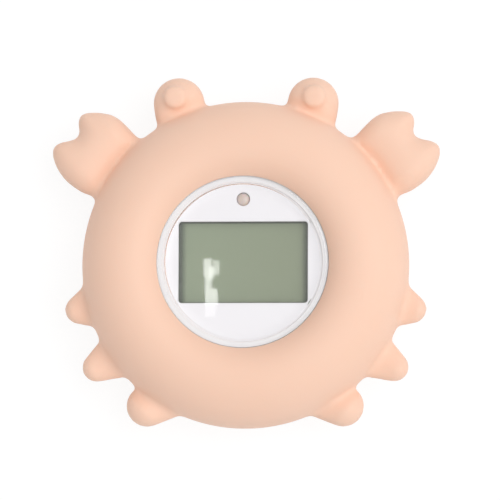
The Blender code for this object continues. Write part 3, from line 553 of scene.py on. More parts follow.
# Claw on the right in millimetres from the body's middle: from its lower edge round both pincers
CLAW_OUTLINE = (
    (39.8, 17.8), (41.7, 18.55), (43.3, 19.35), (46.3, 21.55), (48.5, 24.15),
    (49.8, 26.75), (50.3, 29.0), (49.85, 31.1), (48.0, 32.1), (45.6, 32.6),
    (44.0, 33.2), (43.35, 34.6), (43.65, 36.6), (43.35, 38.65), (41.9, 39.7),
    (39.0, 39.85), (36.8, 39.65), (34.8, 39.15), (32.8, 37.95), (30.6, 35.9),
    (28.6, 33.75), (26.5, 32.4), (24.8, 31.5), (30.9, 26.3), (35.0, 20.6),
    (37.6, 15.3),
)
CLAW_GAP = (43.6, 33.4)
CLAW_GAP_REACH = 2.5
CLAW_ROUND = 4.8 * MM  # width of the claw's rounded edge
CLAW_TIP_SHARE = 0.8  # thickness of the pincers as a share of the palm's
CLAW_TIP = 50 * MM  # from here outwards the pincers get thinner
CLAW_TIP_RUN = 7 * MM
CLAW_FULL = 49.0 * MM  # from here outwards the claw has its full height
# Legs on the right: angle, distance from the body's edge and radius, at the tip and at the root
LEG_HALF_THICKNESS = 5.0 * MM
LEG_FULL = 47.0 * MM
LEGS = (
    ((-14.9, 2.3, 3.7), (-14.7, -3.2, 6.3)),
    ((-34.5, 4.4, 3.75), (-35.2, -2.7, 6.3)),
    ((-55.2, 2.05, 5.4), (-59.9, -3.4, 5.9)),
)
EYE = ((67.5, 3.2, 6.6), (66.3, 0.6, 6.35))  # as for a leg
EYE_HALF_THICKNESS = 5.75 * MM
EYE_FULL = 46.0 * MM
EYE_FULLNESS = 0.8  # below 1, a lobe is flatter on top and fuller at its side
PUPIL_PLACE = (18.0, 43.1)  # in millimetres from the body's middle
PUPIL_REACH = 4.4
PUPIL_RADIUS = 3.0 * MM
PUPIL_EDGE = 0.9 * MM
PUPIL_RISE = 1.05 * MM
# Height of a lobe where it meets the body, as a share of its full height
CLAW_NECK = 0.6
LEG_NECK = 0.45
EYE_NECK = 0.65


def smooth_curve(points, steps):
    """A closed Catmull-Rom curve through the points."""
    count = len(points)
    for i in range(count):
        p0, p1, p2, p3 = (np.array(points[(i + k) % count]) for k in (-1, 0, 1, 2))
        for step in range(steps):
            t = step / steps
            yield 0.5 * (
                2 * p1 + (p2 - p0) * t + (2 * p0 - 5 * p1 + 4 * p2 - p3) * t**2
                + (3 * p1 - p0 - 3 * p2 + p3) * t**3
            )


def claw_shape(cover):
    """A claw with the thickness of a pillow: full in its palm, thinner at its pincers."""
    outline = np.array(list(smooth_curve(CLAW_OUTLINE, 6))) * MM
    low, high = outline.min(axis=0), outline.max(axis=0)
    step = cover.voxel
    across, along = np.meshgrid(np.arange(low[0], high[0], step), np.arange(low[1], high[1], step))
    grid = np.column_stack([across.ravel(), along.ravel()])
    grid = grid[distance_to(grid, outline) > step / 2]
    points = [Vector(p) for p in np.vstack([outline, grid])]
    ring = list(range(len(outline)))
    flat, _, faces, *_ = geometry.delaunay_2d_cdt(points, [], [ring], 1, 1e-7)
    places = np.array([tuple(p) for p in flat])
    depth = distance_to(places, outline)
    rise = np.sqrt(1 - (1 - np.minimum(depth, CLAW_ROUND) / CLAW_ROUND) ** 2)
    reach = np.hypot(places[:, 0], places[:, 1])
    tip = np.clip((reach - CLAW_TIP) / CLAW_TIP_RUN, 0, 1)
    heights = cover.claw_half_thickness * rise * (1 - (1 - CLAW_TIP_SHARE) * tip)
    shape = bmesh.new()
    tops = [shape.verts.new((x, y, cover.equator + h)) for (x, y), h in zip(places, heights)]
    backs = [
        top if d < 1e-6 else shape.verts.new((x, y, cover.equator - h))
        for top, d, (x, y), h in zip(tops, depth, places, heights)
    ]
    for face in faces:
        front = [tops[i] for i in face]
        back = [backs[i] for i in reversed(face)]
        if set(front) != set(back):
            shape.faces.new(front)
            shape.faces.new(back)
    return shape


def distance_to(points, outline):
    """Distance of each point to a closed outline."""
    best = np.full(len(points), np.inf)
    for start, end in zip(outline, np.roll(outline, -1, axis=0)):
        run = end - start
        share = np.clip((points - start) @ run / (run @ run), 0, 1)
        best = np.minimum(best, np.linalg.norm(points - start - share[:, None] * run, axis=1))
    return best


def beside_body(cover, angle, distance):
    """A place at this angle in degrees and this distance in millimetres beyond the body's edge."""
    reach = cover.body_radius + distance * MM
    turn = math.radians(angle)
    return Vector((reach * math.cos(turn), reach * math.sin(turn), cover.equator))


def nub_shape(cover, ends, half_thickness, fullness=1.0):
    """A tapered nub: the hull round a ball at its tip and one in the body, made flatter."""
    shape = bmesh.new()
    for angle, distance, radius in ends:
        place = Matrix.Translation(beside_body(cover, angle, distance))
        bmesh.ops.create_uvsphere(shape, u_segments=48, v_segments=28, radius=radius * MM, matrix=place)
    bmesh.ops.delete(shape, geom=shape.edges[:], context="EDGES_FACES")
    bmesh.ops.convex_hull(shape, input=shape.verts)
    loose = [v for v in shape.verts if not v.link_faces]
    bmesh.ops.delete(shape, geom=loose, context="VERTS")
    tallest = max(radius for _, _, radius in ends) * MM
    for point in shape.verts:
        rise = (point.co.z - cover.equator) / tallest
        point.co.z = cover.equator + math.copysign(half_thickness * abs(rise) ** fullness, rise)
    return shape


def necked(shape, cover, full, share):
    """Draws a lobe in towards the widest circle's height as it nears the body."""
    for point in shape.verts:
        reach = math.hypot(point.co.x, point.co.y)
        near = min(max((full - reach) / (full - cover.body_radius), 0), 1)
        point.co.z += (cover.equator - point.co.z) * (1 - share) * near**2
    return shape


def pupil_shape(cover):
    """A low button with a rounded edge, its foot sunk in the eye."""
    foot = cover.equator + EYE_HALF_THICKNESS - 2 * PUPIL_RISE
    top = foot + 3 * PUPIL_RISE
    inner = PUPIL_RADIUS - PUPIL_EDGE
    edge = fillet((inner, top - PUPIL_EDGE), PUPIL_EDGE, 90, 0, 6)
    shape = turned([(0, top), *edge, (PUPIL_RADIUS, foot), (0, foot)], 64)
    return moved(shape, PUPIL_PLACE[0] * MM, PUPIL_PLACE[1] * MM)


def body_profile(cover):
    """Outer face of the round body. Its dish runs on inside the lip, where the core is cut."""
    run = cover.crown_radius - DISH_START
    rise = cover.height - cover.lip_height
    radius = (run**2 + rise**2) / (2 * rise)
    dish = [
        (cover.crown_radius - radius * math.sin(a), cover.height - radius * (1 - math.cos(a)))
        for a in (math.radians(DISH_SWEEP - DISH_SWEEP * i / 16) for i in range(16))
    ]
    side = cover.body_radius
    crown = cover.crown_radius
    top = arc((crown, cover.equator), side - crown, cover.height - cover.equator, 90, 0, 24)
    back = arc((FLAT_RADIUS, cover.equator), side - FLAT_RADIUS, cover.equator, 0, -90, 24)
    return [(0, dish[0][1]), *dish, *top, *list(back)[1:], (0, 0)]


def core_profile(cover):
    """The float's outline with its fit, and the openings in front and behind."""
    lip = cover.lip_radius
    edge = fillet((lip + LIP_ROUND, cover.lip_height - 0.4 * MM), LIP_ROUND, 148, 180, 6)
    dome = arc((DOME_RADIUS, cover.equator), 9.8 * MM, 11.5 * MM, 90, 0, 20)
    pan = arc((FLAT_RADIUS, cover.equator), 8.3 * MM, 11.3 * MM, 0, -90, 20)
    return [
        (0, ABOVE_COVER),
        (lip + 3.0 * MM, ABOVE_COVER),
        *edge,
        (lip, SEAT_HEIGHT),
        (BACK_OPENING, SEAT_HEIGHT),
        (27.5 * MM, 24.7 * MM),
        *dome,
        *list(pan)[1:],
        (BACK_OPENING, 2.2 * MM),
        (BACK_OPENING, 0.25 * MM),
        *section(0, (24.25, 0), (25.25, -1), (0, -1)),
    ]


def soften(mesh, rounds, fills, guard):
    """Fills creases pass by pass and evens the surface. guard gives each point's share of the filling."""
    count = len(mesh.vertices)
    points = np.empty(count * 3)
    mesh.vertices.foreach_get("co", points)
    points = points.reshape(-1, 3)
    ends = np.empty(len(mesh.edges) * 2, dtype=np.int32)
    mesh.edges.foreach_get("vertices", ends)
    one, other = ends[::2], ends[1::2]
    degree = np.bincount(ends, minlength=count)[:, None]
    share = guard(points)[:, None]
    normals = np.empty(count * 3)
    for step in range(fills + rounds):
        total = np.empty_like(points)
        for axis in range(3):
            total[:, axis] = np.bincount(one, points[other, axis], count)
            total[:, axis] += np.bincount(other, points[one, axis], count)
        pull = total / degree - points
        if step < fills:
            mesh.vertex_normals.foreach_get("vector", normals)
            up = normals.reshape(-1, 3)
            out = np.sum(pull * up, axis=1, keepdims=True)
            pull -= out * up
            pull += share * np.maximum(out, 0) * up
        points += 0.5 * pull
        mesh.vertices.foreach_set("co", points.ravel())
        mesh.update()


class THERMOMETER_OT_silicone_cover(bpy.types.Operator):
    """Makes the crab-shaped cover: round body, claws, legs and eyes, moulded in one"""

    bl_idname = "thermometer.silicone_cover"
    bl_label = "Silicone cover"

    def execute(self, context):
        cover = settings().cover
        shape = bmesh.new()
        absorb(shape, necked(claw_shape(cover), cover, CLAW_FULL, CLAW_NECK))
        for ends in LEGS:
            leg = nub_shape(cover, ends, LEG_HALF_THICKNESS)
            absorb(shape, necked(leg, cover, LEG_FULL, LEG_NECK))
        eye = nub_shape(cover, EYE, EYE_HALF_THICKNESS, EYE_FULLNESS)
        absorb(shape, necked(eye, cover, EYE_FULL, EYE_NECK))
        absorb(shape, pupil_shape(cover))
        copy = bmesh.ops.duplicate(shape, geom=[*shape.verts, *shape.edges, *shape.faces])["geom"]
        bmesh.ops.scale(shape, vec=(-1, 1, 1), verts=[g for g in copy if isinstance(g, bmesh.types.BMVert)])
        bmesh.ops.reverse_faces(shape, faces=[g for g in copy if isinstance(g, bmesh.types.BMFace)])
        absorb(shape, turned(body_profile(cover), 240))
        form = holder_of("cover_form", mesh_of(shape))
        remesh = form.modifiers.new("Mould", "REMESH")
        remesh.mode = "VOXEL"
        remesh.voxel_size = cover.voxel
        bpy.context.view_layer.update()
        mesh = settled(form)

        def guard(points):
            """Little filling on top, round the pupils and in the gap of the claws, which are crisp."""
            aside, along = np.abs(points[:, 0]) / MM, points[:, 1] / MM
            at_pupil = np.hypot(aside - PUPIL_PLACE[0], along - PUPIL_PLACE[1]) < PUPIL_REACH
            at_pupil &= points[:, 2] > cover.equator + 2 * MM
            in_gap = np.hypot(aside - CLAW_GAP[0], along - CLAW_GAP[1]) < CLAW_GAP_REACH
            on_top = np.interp(points[:, 2] - cover.equator, (1.2 * MM, 2.8 * MM), (1.0, 0.3))
            return np.where(at_pupil, 0.3, np.where(in_gap, 0.35, on_top))

        soften(mesh, 5, cover.fillet_rounds, guard)
        mesh = cut(mesh, [turned(core_profile(cover), 240)], "MANIFOLD")
        finish = silicone_finish()
        put("silicone_skin", mesh, finish, "peach_silicone", "silicone_cover", angle=math.radians(50))
        return {"FINISHED"}


class THERMOMETER_OT_lens(bpy.types.Operator):
    """Makes the stepped clear lens and the gasket under its rim"""

    bl_idname = "thermometer.lens"
    bl_label = "Lens and gasket"

    def execute(self, context):
        rim = (LENS_HIGH[0] - LENS_LOW[0]) / 2
        foot, face = LENS_LOW[2], LENS_HIGH[2]
        flange = face - settings().module.lens_step
        profile = [
            (0, face),
            (LENS_FLAT, face),
            *fillet((LENS_BEVEL_FOOT, face - LENS_BEVEL), LENS_BEVEL, 90, 50, 6),
            *fillet((LENS_STEP_FOOT, flange + LENS_FILLET), LENS_FILLET, 230, 270, 5),
            *fillet((rim - LENS_RIM, flange - LENS_RIM), LENS_RIM, 90, 0, 4),
            (rim, foot),
            (LENS_RECESS_RIM, foot),
            (LENS_FLAT, foot + LENS_RECESS),
            (0, foot + LENS_RECESS),
        ]
        lens = mesh_of(turned(profile, 256))
        # Acrylic, moulded in a polished tool: clear, with crisp reflections
        put("clear_lens", lens, clear("clear_acrylic", 1.49, 0.015, (1, 1, 1, 1)), "clear_lens", "lens")
        low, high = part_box("lens_seal")
        outer = (high[0] - low[0]) / 2
        soft = SOFT_EDGE
        ring = [
            (GASKET_BORE, high[2] - soft),
            (GASKET_BORE + soft, high[2]),
            (outer - soft, high[2]),
            (outer, high[2] - soft),
            (outer, low[2] + soft),
            (outer - soft, low[2]),
            (GASKET_BORE + soft, low[2]),
            (GASKET_BORE, low[2] + soft),
        ]
        # White silicone rubber, die cut and slightly dusty
        gasket = plain("white_gasket_rubber", "F2F2F4", "ECECEE", 0.3, (0.5, 0.65), 0.02)
        put("lens_gasket", mesh_of(turned(ring, 192, closed=True)), gasket, "seal_rubber", "lens_seal")
        return {"FINISHED"}


class THERMOMETER_OT_face_plate(bpy.types.Operator):
    """Makes the white plate with its display window and the light's hole"""

    bl_idname = "thermometer.face_plate"
    bl_label = "Face plate"

    def execute(self, context):
        module = settings().module
        radius = (PLATE_HIGH[0] - PLATE_LOW[0]) / 2
        foot, top = PLATE_LOW[2], PLATE_HIGH[2]
        soft, lip = SOFT_EDGE, WINDOW_LIP
        flat = top - PLATE_RISE
        shares = [i / 8 for i in range(8)]
        dish = [(PLATE_FLAT + (radius - soft - PLATE_FLAT) * i, flat + PLATE_RISE * i**2) for i in shares]
        edge = fillet((radius - soft, top - soft), soft, 90, 0, 4)
        disc = turned([(0, flat), *dish, *edge, (radius, foot), (0, foot)], 192)
        outline = rounded_outline(module.window_width, module.window_height, module.window_corner, 8)
        window = prism(outline, [(foot - MM, 0), (flat - lip, 0), (flat, -lip), (flat + MM, -lip)])
        bore = [
            (0, flat + MM),
            (LIGHT_HOLE + lip + MM, flat + MM),
            (LIGHT_HOLE, flat - lip),
            (LIGHT_HOLE, foot - MM),
            (0, foot - MM),
        ]
        hole = moved(turned(bore, 64), 0, module.light_y)
        plate = cut(mesh_of(disc), [window, hole])
        # White ABS with a spark-eroded matt face, seen through the lens
        tone = tuple(module.plate_colour)
        second = tuple(c * 0.985 for c in tone[:3]) + (1.0,)
        finish = surface("white_face_plate", tone, second, 0.25 * MM, (0.38, 0.48), 0.01 * MM)
        put("display_plate", plate, finish, "white_plate", "face_plate", angle=CRISP)
        return {"FINISHED"}


class THERMOMETER_OT_display(bpy.types.Operator):
    """Finishes the layers of the display and makes the alarm light"""

    bl_idname = "thermometer.display"
    bl_label = "Display and light"

    def execute(self, context):
        dress(display_finish(), "lcd_front_polariser", "lcd_rear_polariser")
        # Soda-lime glass, cut and ground at its edges
        glass = clear("display_glass", 1.52, 0.02, linear("EEF4EE"))
        dress(glass, "lcd_front_glass", "lcd_rear_glass")
        low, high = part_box("alarm_led")
        body = low[2] + LIGHT_LEAD
        profile = [
            *arc((0, high[2] - 0.9 * MM), LIGHT_RADIUS, 1.2 * MM, 90, 0, 12),
            (LIGHT_RADIUS, body + MM),
            (LIGHT_FLANGE - 0.1 * MM, body + MM),
            (LIGHT_FLANGE, body + 0.9 * MM),
            (LIGHT_FLANGE, body),
            (0, body),
        ]
        shape = turned(profile, 48)
        lead = rounded_outline(0.5 * MM, 0.5 * MM, 0.08 * MM, 2)
        for side in (-1, 1):
            leg = prism(lead, [(low[2], 0), (body - 0.01 * MM, 0)])
            absorb(shape, moved(leg, side * LIGHT_LEAD_X))
        moved(shape, 0, settings().module.light_y)
        # Cast epoxy with a milky diffuser, unlit, so that it looks tan grey
        depth = {"Subsurface Weight": 0.4, "Subsurface Scale": 0.6 * MM, "IOR": 1.53}
        milky = plain("milky_epoxy", "DACABF", "C9BEB5", 0.12, (0.12, 0.2), 0.004, depth)
        put("alarm_light", mesh_of(shape), milky, "led_resin", "alarm_led")
        return {"FINISHED"}


def dress(material, *names):
    """Gives CAD nodes a finish in place of their own."""
    for name in names:
        paint(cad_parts[name].data, material)


def fastener_tree():
    """Puts one fastener at each point, each turned its own way."""
    tree = bpy.data.node_groups.new("fasteners_at_points", "GeometryNodeTree")
    for name, kind in (
        ("Points", "Geometry"),
        ("Fastener", "Object"),
        ("Most turn", "Float"),
        ("Seed", "Int"),
        ("Material", "Material"),
    ):
        tree.interface.new_socket(name, in_out="INPUT", socket_type="NodeSocket" + kind)
    tree.interface.new_socket("Geometry", in_out="OUTPUT", socket_type="NodeSocketGeometry")
    given = add(tree, "NodeGroupInput").outputs
    inputs = {2: 0.0, 3: given["Most turn"], "Seed": given["Seed"]}
    turn = add(tree, "FunctionNodeRandomValue", inputs, data_type="FLOAT")
    rotation = add(tree, "ShaderNodeCombineXYZ", {"Z": turn.outputs[1]}).outputs[0]
    info = add(tree, "GeometryNodeObjectInfo", {"Object": given["Fastener"], "As Instance": True})
    inputs = {"Points": given["Points"], "Instance": info.outputs["Geometry"], "Rotation": rotation}
    placed = add(tree, "GeometryNodeInstanceOnPoints", inputs)
    real = add(tree, "GeometryNodeRealizeInstances", {"Geometry": placed.outputs[0]})
    inputs = {"Geometry": real.outputs[0], "Material": given["Material"]}
    painted = add(tree, "GeometryNodeSetMaterial", inputs)
    add(tree, "NodeGroupOutput", {"Geometry": painted.outputs[0]})
    return tree


def at_points(name, tree, one, places, material, slot, nodes, most_turn):
    """One piece of like fasteners at these places, made by the node tree."""
    points = bpy.data.meshes.new(name)
    points.from_pydata(places, [], [])
    carrier = holder_of(name + "_points", points)
    fastener = holder_of(name + "_one", one)
    modifier = carrier.modifiers.new("Fasteners", "NODES")
    modifier.node_group = tree
    keys = {item.name: item.identifier for item in tree.interface.items_tree if item.in_out == "INPUT"}
    for key, value in (("Fastener", fastener), ("Most turn", most_turn), ("Seed", 7), ("Material", material)):
        modifier[keys[key]] = value
    bpy.context.view_layer.update()
    mesh = settled(carrier)
    bpy.data.objects.remove(fastener, do_unlink=True)
    put(name, mesh, material, slot, *nodes)


def back_shell(white):
    """The rear shell with its pad, the door's recess, the cell's well and its bores."""
    low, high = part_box("rear_housing")
    pad, rim = low[2], high[2]
    outer = (high[0] - low[0]) / 2
    centre = (FLAT_RADIUS, EQUATOR)
    wall = arc(centre, outer - FLAT_RADIUS, EQUATOR - SHELL_BACK, 0, -90, 20)
    inner = arc(centre, outer - FLAT_RADIUS - SHELL_WALL, EQUATOR - SHELL_FLOOR, -90, 0, 20)
    profile = [
        (0, SHELL_FLOOR),
        *list(inner)[:-1],
        (outer - SHELL_WALL, rim),
        (outer, rim),
        *list(wall)[1:],
        (23.7 * MM, SHELL_BACK),
        *fillet((23.35 * MM, pad + BACK_ROUND), BACK_ROUND, 0, -90, 5),
        (0, pad),
    ]
    outline = rounded_outline(DOOR_LENGTH + 2 * FIT, DOOR_WIDTH + 2 * FIT, DOOR_CORNER + FIT, 16)
    recess = prism(outline, [(pad - MM, -0.9 * MM), (pad + 0.12 * MM, 0), (DOOR_HIGH[2] + FIT, 0)])
    bores = [recess, turned(section(0, (0, 7.2), (10.9, 7.2), (10.9, 1), (0, 1)), 96)]
    for x, y, radius in BACK_BORES:
        bore = turned(section(0, (0, 6), (radius, 6), (radius, 0), (0, 0)), 48)
        bores.append(moved(bore, x * MM, y * MM))
    shell = cut(mesh_of(turned(profile, 192)), bores)
    put("back_shell", shell, white, "white_housing", "rear_housing", angle=CRISP)


def battery_cover(white):
    """The battery door with its two screw seats and the groove round its middle."""
    foot, top = DOOR_LOW[2], DOOR_HIGH[2]
    levels = [
        (foot, BACK_ROUND),
        (foot + 0.1 * MM, BACK_ROUND / 3),
        (foot + BACK_ROUND, 0),
        (top - 0.1 * MM, 0),
        (top, 0.1 * MM),
    ]
    tools = []
    for side in (-1, 1):
        seat = [
            *section(top, (0, 1), (1.4, 1)),
            *section(foot, (1.4, 1.3), (2.3, 1.3), (2.3, 0.2), (3.5, -1), (0, -1)),
        ]
        tools.append(moved(turned(seat, 64), side * SCREW_X * MM))
    groove = arc((8.6 * MM, foot), 0.35 * MM, 0.3 * MM, 0, 360, 16)
    tools.append(turned(list(groove)[:-1][::-1], 128, closed=True))
    outline = rounded_outline(DOOR_LENGTH, DOOR_WIDTH, DOOR_CORNER, 16)
    door = cut(mesh_of(prism(outline, levels)), tools)
    put("battery_cover", door, white, "white_housing", "battery_door", angle=CRISP)


def sensor_tip():
    """The drawn steel cap over the sensor, with the flange that its seal lies on."""
    low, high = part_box("sensor_cap")
    flange = (high[0] - low[0]) / 2
    radius, round_edge = 2.6 * MM, 0.5 * MM
    cap = [
        *section(low[2], (0, 0.5), (2.1, 0.5)),
        (2.1 * MM, high[2]),
        (flange, high[2]),
        (flange, high[2] - 0.6 * MM),
        (radius, high[2] - 0.6 * MM),
        *fillet((radius - round_edge, low[2] + round_edge), round_edge, 0, -90, 6),
        (0, low[2]),
    ]
    steel = steel_finish("polished_sensor_steel", "D2D3D5", "C8CACC", (0.12, 0.2))
    sensor = moved(turned(cap, 72), 0, -BACK_ROW * MM)
    put("sensor_tip", mesh_of(sensor), steel, "sensor_steel", "sensor_cap")


class THERMOMETER_OT_back(bpy.types.Operator):
    """Makes the back of the float: its shell, the battery door and the sensor cap"""

    bl_idname = "thermometer.back"
    bl_label = "Back of the float"

    def execute(self, context):
        white = abs_finish("white_back_abs")
        back_shell(white)
        battery_cover(white)
        sensor_tip()
        return {"FINISHED"}


class THERMOMETER_OT_fasteners(bpy.types.Operator):
    """Places the battery door's screws and the water contacts"""

    bl_idname = "thermometer.fasteners"
    bl_label = "Screws and contacts"

    def execute(self, context):
        tree = fastener_tree()
        low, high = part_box("battery_door_screw_1")
        head = [
            *section(high[2] - low[2], (0, 0), (0.6, -0.1), (1.1, -0.8)),
            *section(0, (1.1, 1), (1.9, 1), (2.0, 0.85)),
            *arc((1.45 * MM, 0.5 * MM), 0.55 * MM, 0.5 * MM, 0, -90, 6),
            (0, 0),
        ]
        recesses = []
        x, y = RECESS_HALF, RECESS_WING
        for turn in (0, math.pi / 2):
            wing = prism([(-x, -y), (x, -y), (x, y), (-x, y)], [(-0.1 * MM, 0), (0.55 * MM, 0.12 * MM)])
            bmesh.ops.rotate(wing, cent=(0, 0, 0), matrix=Matrix.Rotation(turn, 3, "Z"), verts=wing.verts)
            recesses.append(wing)
        screw = cut(mesh_of(turned(head, 48)), recesses)
        at_points(
            "door_screws",
            tree,
            screw,
            [(side * SCREW_X * MM, 0, low[2]) for side in (-1, 1)],
            steel_finish("zinc_plated_screw", "BFC1C4", "AFB1B5", (0.25, 0.36)),
            "screw_steel",
            ("battery_door_screw_1", "battery_door_screw_2"),
            math.pi / 2,
        )
        low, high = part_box("water_contact_1")
        contact = [
            *section(high[2] - low[2], (0, 0), (0.8, 0)),
            *section(0, (0.8, 0.8), (1.55, 0.8), (1.6, 0.7)),
            *arc((0.7 * MM, 0.4 * MM), 0.9 * MM, 0.4 * MM, 0, -90, 8),
            (0, 0),
        ]
        at_points(
            "water_contacts",
            tree,
            mesh_of(turned(contact, 48)),
            [(side * CONTACT_X * MM, BACK_ROW * MM, low[2]) for side in (-1, 1)],
            steel_finish("bright_contact_steel", "D6D4CF", "CCCAC5", (0.15, 0.24)),
            "sensor_steel",
            ("water_contact_1", "water_contact_2"),
            0.0,
        )
        return {"FINISHED"}


# Finishes of the CAD pieces inside the float: as for plain, and then the pieces
INNER_FINISHES = (
    # Moulded silicone rubber, matt white
    (
        *("white_seal_rubber", "DCDCDA", "D2D2D0", 0.3, (0.5, 0.65), 0.02),
        ("housing_seal", "battery_door_seal", "sensor_seal"),
    ),
    # Dull dark grey ABS, so that the display's edges stay quiet
    ("dark_holder_abs", "3A3B39", "333432", 0.3, (0.45, 0.6), 0.02, ("lcd_holder",)),
    # Solder mask over copper and glass weave
    ("solder_mask_board", "1F6B3A", "1B5F33", 0.4, (0.25, 0.4), 0.01, ("circuit_board",)),
    # Cast epoxy, near black
    ("black_epoxy", "1E1E1F", "262627", 0.2, (0.25, 0.5), 0.03, ("main_chip", "thermistor")),
    # Fired ceramic, tan and dull
    (
        *("fired_ceramic", "B49A7C", "A58A6B", 0.1, (0.5, 0.7), 0.01),
        ("capacitor_1", "capacitor_2", "resistor_1", "resistor_2"),
    ),
    # Thin layers of black and clear rubber, grey from afar
    ("layered_zebra_rubber", "616164", "4C4C4F", 0.1, (0.55, 0.7), 0.01, ("zebra_connector",)),
)


class THERMOMETER_OT_inner_parts(bpy.types.Operator):
    """Finishes the CAD pieces inside the float"""

    bl_idname = "thermometer.inner_parts"
    bl_label = "Inner parts"

    def execute(self, context):
        for *values, nodes in INNER_FINISHES:
            dress(plain(*values), *nodes)
        dress(abs_finish("white_shell_abs"), "front_housing")
        steel = steel_finish("plain_steel", "C2C3C5", "B4B6B9", (0.22, 0.35))
        screws = [f"{kind}_screw_{number}" for kind in ("housing", "board") for number in range(1, 5)]
        dress(steel, "coin_cell", "crystal", *screws)
        nickel = steel_finish("nickel_plate", "CFCBC2", "C2BEB5", (0.18, 0.3))
        dress(nickel, "negative_contact", "positive_contact", "negative_pin", "positive_pin")
        return {"FINISHED"}


def aim(place, target, up):
    """A matrix at place, looking at target, with up upwards in its view."""
    back = (place - target).normalized()
    right = up.cross(back).normalized()
    matrix = Matrix((right, back.cross(right), back)).transposed().to_4x4()
    matrix.translation = place
    return matrix


def lamp(name, kind, place, target, **values):
    data = bpy.data.lights.new(name, kind)
    for key, value in values.items():
        setattr(data, key, value)
    obj = bpy.data.objects.new(name, data)
    bpy.context.scene.collection.objects.link(obj)
    obj.matrix_world = aim(Vector(place), Vector(target), Vector((0, 1, 0.01)))
    return obj


def floor_finish():
    """A white sweep that stays white to the camera and keeps a light shadow."""
    material, tree, place = new_material("studio_floor")
    paper = add(tree, "ShaderNodeBsdfDiffuse", {"Color": (0.9, 0.9, 0.9, 1)})
    glow = add(tree, "ShaderNodeEmission", {"Color": (1, 1, 1, 1), "Strength": 1.06})
    path = add(tree, "ShaderNodeLightPath")
    seen = add(tree, "ShaderNodeMath", {0: path.outputs["Is Camera Ray"], 1: 0.82}, operation="MULTIPLY")
    mixed = add(tree, "ShaderNodeMixShader", {0: seen.outputs[0], 1: paper.outputs[0], 2: glow.outputs[0]})
    return shaded(material, mixed)


def white_world(strength):
    """Even light of this strength all round, which looks full white itself."""
    world = bpy.data.worlds.new("studio")
    world.use_nodes = True
    tree = world.node_tree
    tree.nodes.clear()
    path = add(tree, "ShaderNodeLightPath").outputs
    seen = largest(tree, *(path[f"Is {kind} Ray"] for kind in ("Camera", "Glossy", "Transmission")))
    level = ranged(tree, seen, (0.0, 1.0), (strength, 1.0))
    back = add(tree, "ShaderNodeBackground", {"Color": (1, 1, 1, 1), "Strength": level})
    add(tree, "ShaderNodeOutputWorld", {"Surface": back.outputs[0]})
    bpy.context.scene.world = world


PANE_DISTANCE = 0.6
# Panes by where they show on the lens in millimetres from its middle, their size and their radiance
STREAK = (
    (-9.0, -1.5, 2.1, 4.4, 6.0),
    (-6.8, -1.6, 1.8, 3.6, 4.5),
    (-7.9, -2.9, 1.2, 2.9, 4.5),
    (-8.75, -5.3, 1.8, 3.4, 6.0),
    (-8.0, -9.0, 3.2, 4.0, 6.5),
    (-8.2, -12.6, 2.6, 3.2, 1.2),
)


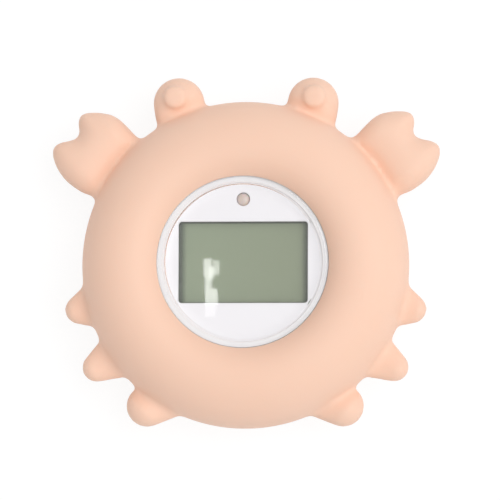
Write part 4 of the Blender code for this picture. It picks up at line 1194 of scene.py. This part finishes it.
class THERMOMETER_OT_stage(bpy.types.Operator):
    """Sets the floor, the soft light and the camera"""

    bl_idname = "thermometer.stage"
    bl_label = "Stage"

    def execute(self, context):
        stage = settings().stage
        scene = bpy.context.scene
        shape = bmesh.new()
        bmesh.ops.create_circle(shape, cap_ends=True, segments=128, radius=FLOOR_RADIUS)
        floor = holder_of("floor", mesh_of(shape, "floor"))
        floor.data.materials.append(floor_finish())
        white_world(stage.sky_strength)
        middle = AXIS + Vector((0, 0, EQUATOR))
        lamp("key", "SUN", KEY_PLACE, (0, 0, 0), energy=stage.key_strength, angle=KEY_ANGLE)
        flat = math.cos(stage.elevation)
        across, along = math.sin(stage.azimuth), -math.cos(stage.azimuth)
        toward = Vector((across * flat, along * flat, math.sin(stage.elevation)))
        data = bpy.data.cameras.new("camera")
        data.sensor_width = 36
        data.lens = PIXELS_PER_METRE * stage.distance * data.sensor_width / PICTURE
        data.clip_end = 20
        camera = bpy.data.objects.new("camera", data)
        scene.collection.objects.link(camera)
        up = Vector((-math.sin(stage.roll), math.cos(stage.roll), 0))
        camera.matrix_world = aim(middle + toward * stage.distance, middle, up)
        shift = Vector([pixels / PIXELS_PER_METRE for pixels in (*CAMERA_SHIFT, 0)])
        camera.location += camera.matrix_world.to_3x3() @ shift
        scene.camera = camera
        # Small bright panes high over the lens show in its left half as a broken streak
        for number, (x, y, width, height, radiance) in enumerate(STREAK, start=1):
            seen = AXIS + Vector((x * MM, y * MM, LENS_HIGH[2]))
            away = (seen - camera.location).normalized() * PANE_DISTANCE
            place = seen + Vector((away.x, away.y, -away.z))
            grown = 1 + PANE_DISTANCE / (camera.location - seen).length
            pane = lamp(f"pane_{number}", "AREA", place, seen)
            pane.data.shape = "RECTANGLE"
            pane.data.size = width * MM * grown
            pane.data.size_y = height * MM * grown
            pane.data.energy = radiance * math.pi * pane.data.size * pane.data.size_y
        scene.view_settings.view_transform = "Standard"
        return {"FINISHED"}


STEPS = (
    THERMOMETER_OT_silicone_cover,
    THERMOMETER_OT_lens,
    THERMOMETER_OT_face_plate,
    THERMOMETER_OT_display,
    THERMOMETER_OT_back,
    THERMOMETER_OT_fasteners,
    THERMOMETER_OT_inner_parts,
    THERMOMETER_OT_stage,
)


class THERMOMETER_PT_panel(bpy.types.Panel):
    """Settings and steps of the thermometer"""

    bl_idname = "THERMOMETER_PT_panel"
    bl_label = "Bath thermometer"
    bl_space_type = "VIEW_3D"
    bl_region_type = "UI"
    bl_category = "Thermometer"

    def draw(self, context):
        layout = self.layout
        for group in (settings().cover, settings().module, settings().stage):
            box = layout.box()
            for key in group.__annotations__:
                box.prop(group, key)
        for step in STEPS:
            layout.operator(step.bl_idname)


CLASSES = (CoverSettings, ModuleSettings, StageSettings, ThermometerSettings, *STEPS, THERMOMETER_PT_panel)


def register():
    for made in CLASSES:
        bpy.utils.register_class(made)
    bpy.types.Scene.thermometer = PointerProperty(type=ThermometerSettings)


def unregister():
    del bpy.types.Scene.thermometer
    for made in reversed(CLASSES):
        bpy.utils.unregister_class(made)


def main():
    register()
    bpy.ops.thermometer.silicone_cover()
    bpy.ops.thermometer.lens()
    bpy.ops.thermometer.face_plate()
    bpy.ops.thermometer.display()
    bpy.ops.thermometer.back()
    bpy.ops.thermometer.fasteners()
    bpy.ops.thermometer.inner_parts()
    bpy.ops.thermometer.stage()


if __name__ == "__main__":
    main()
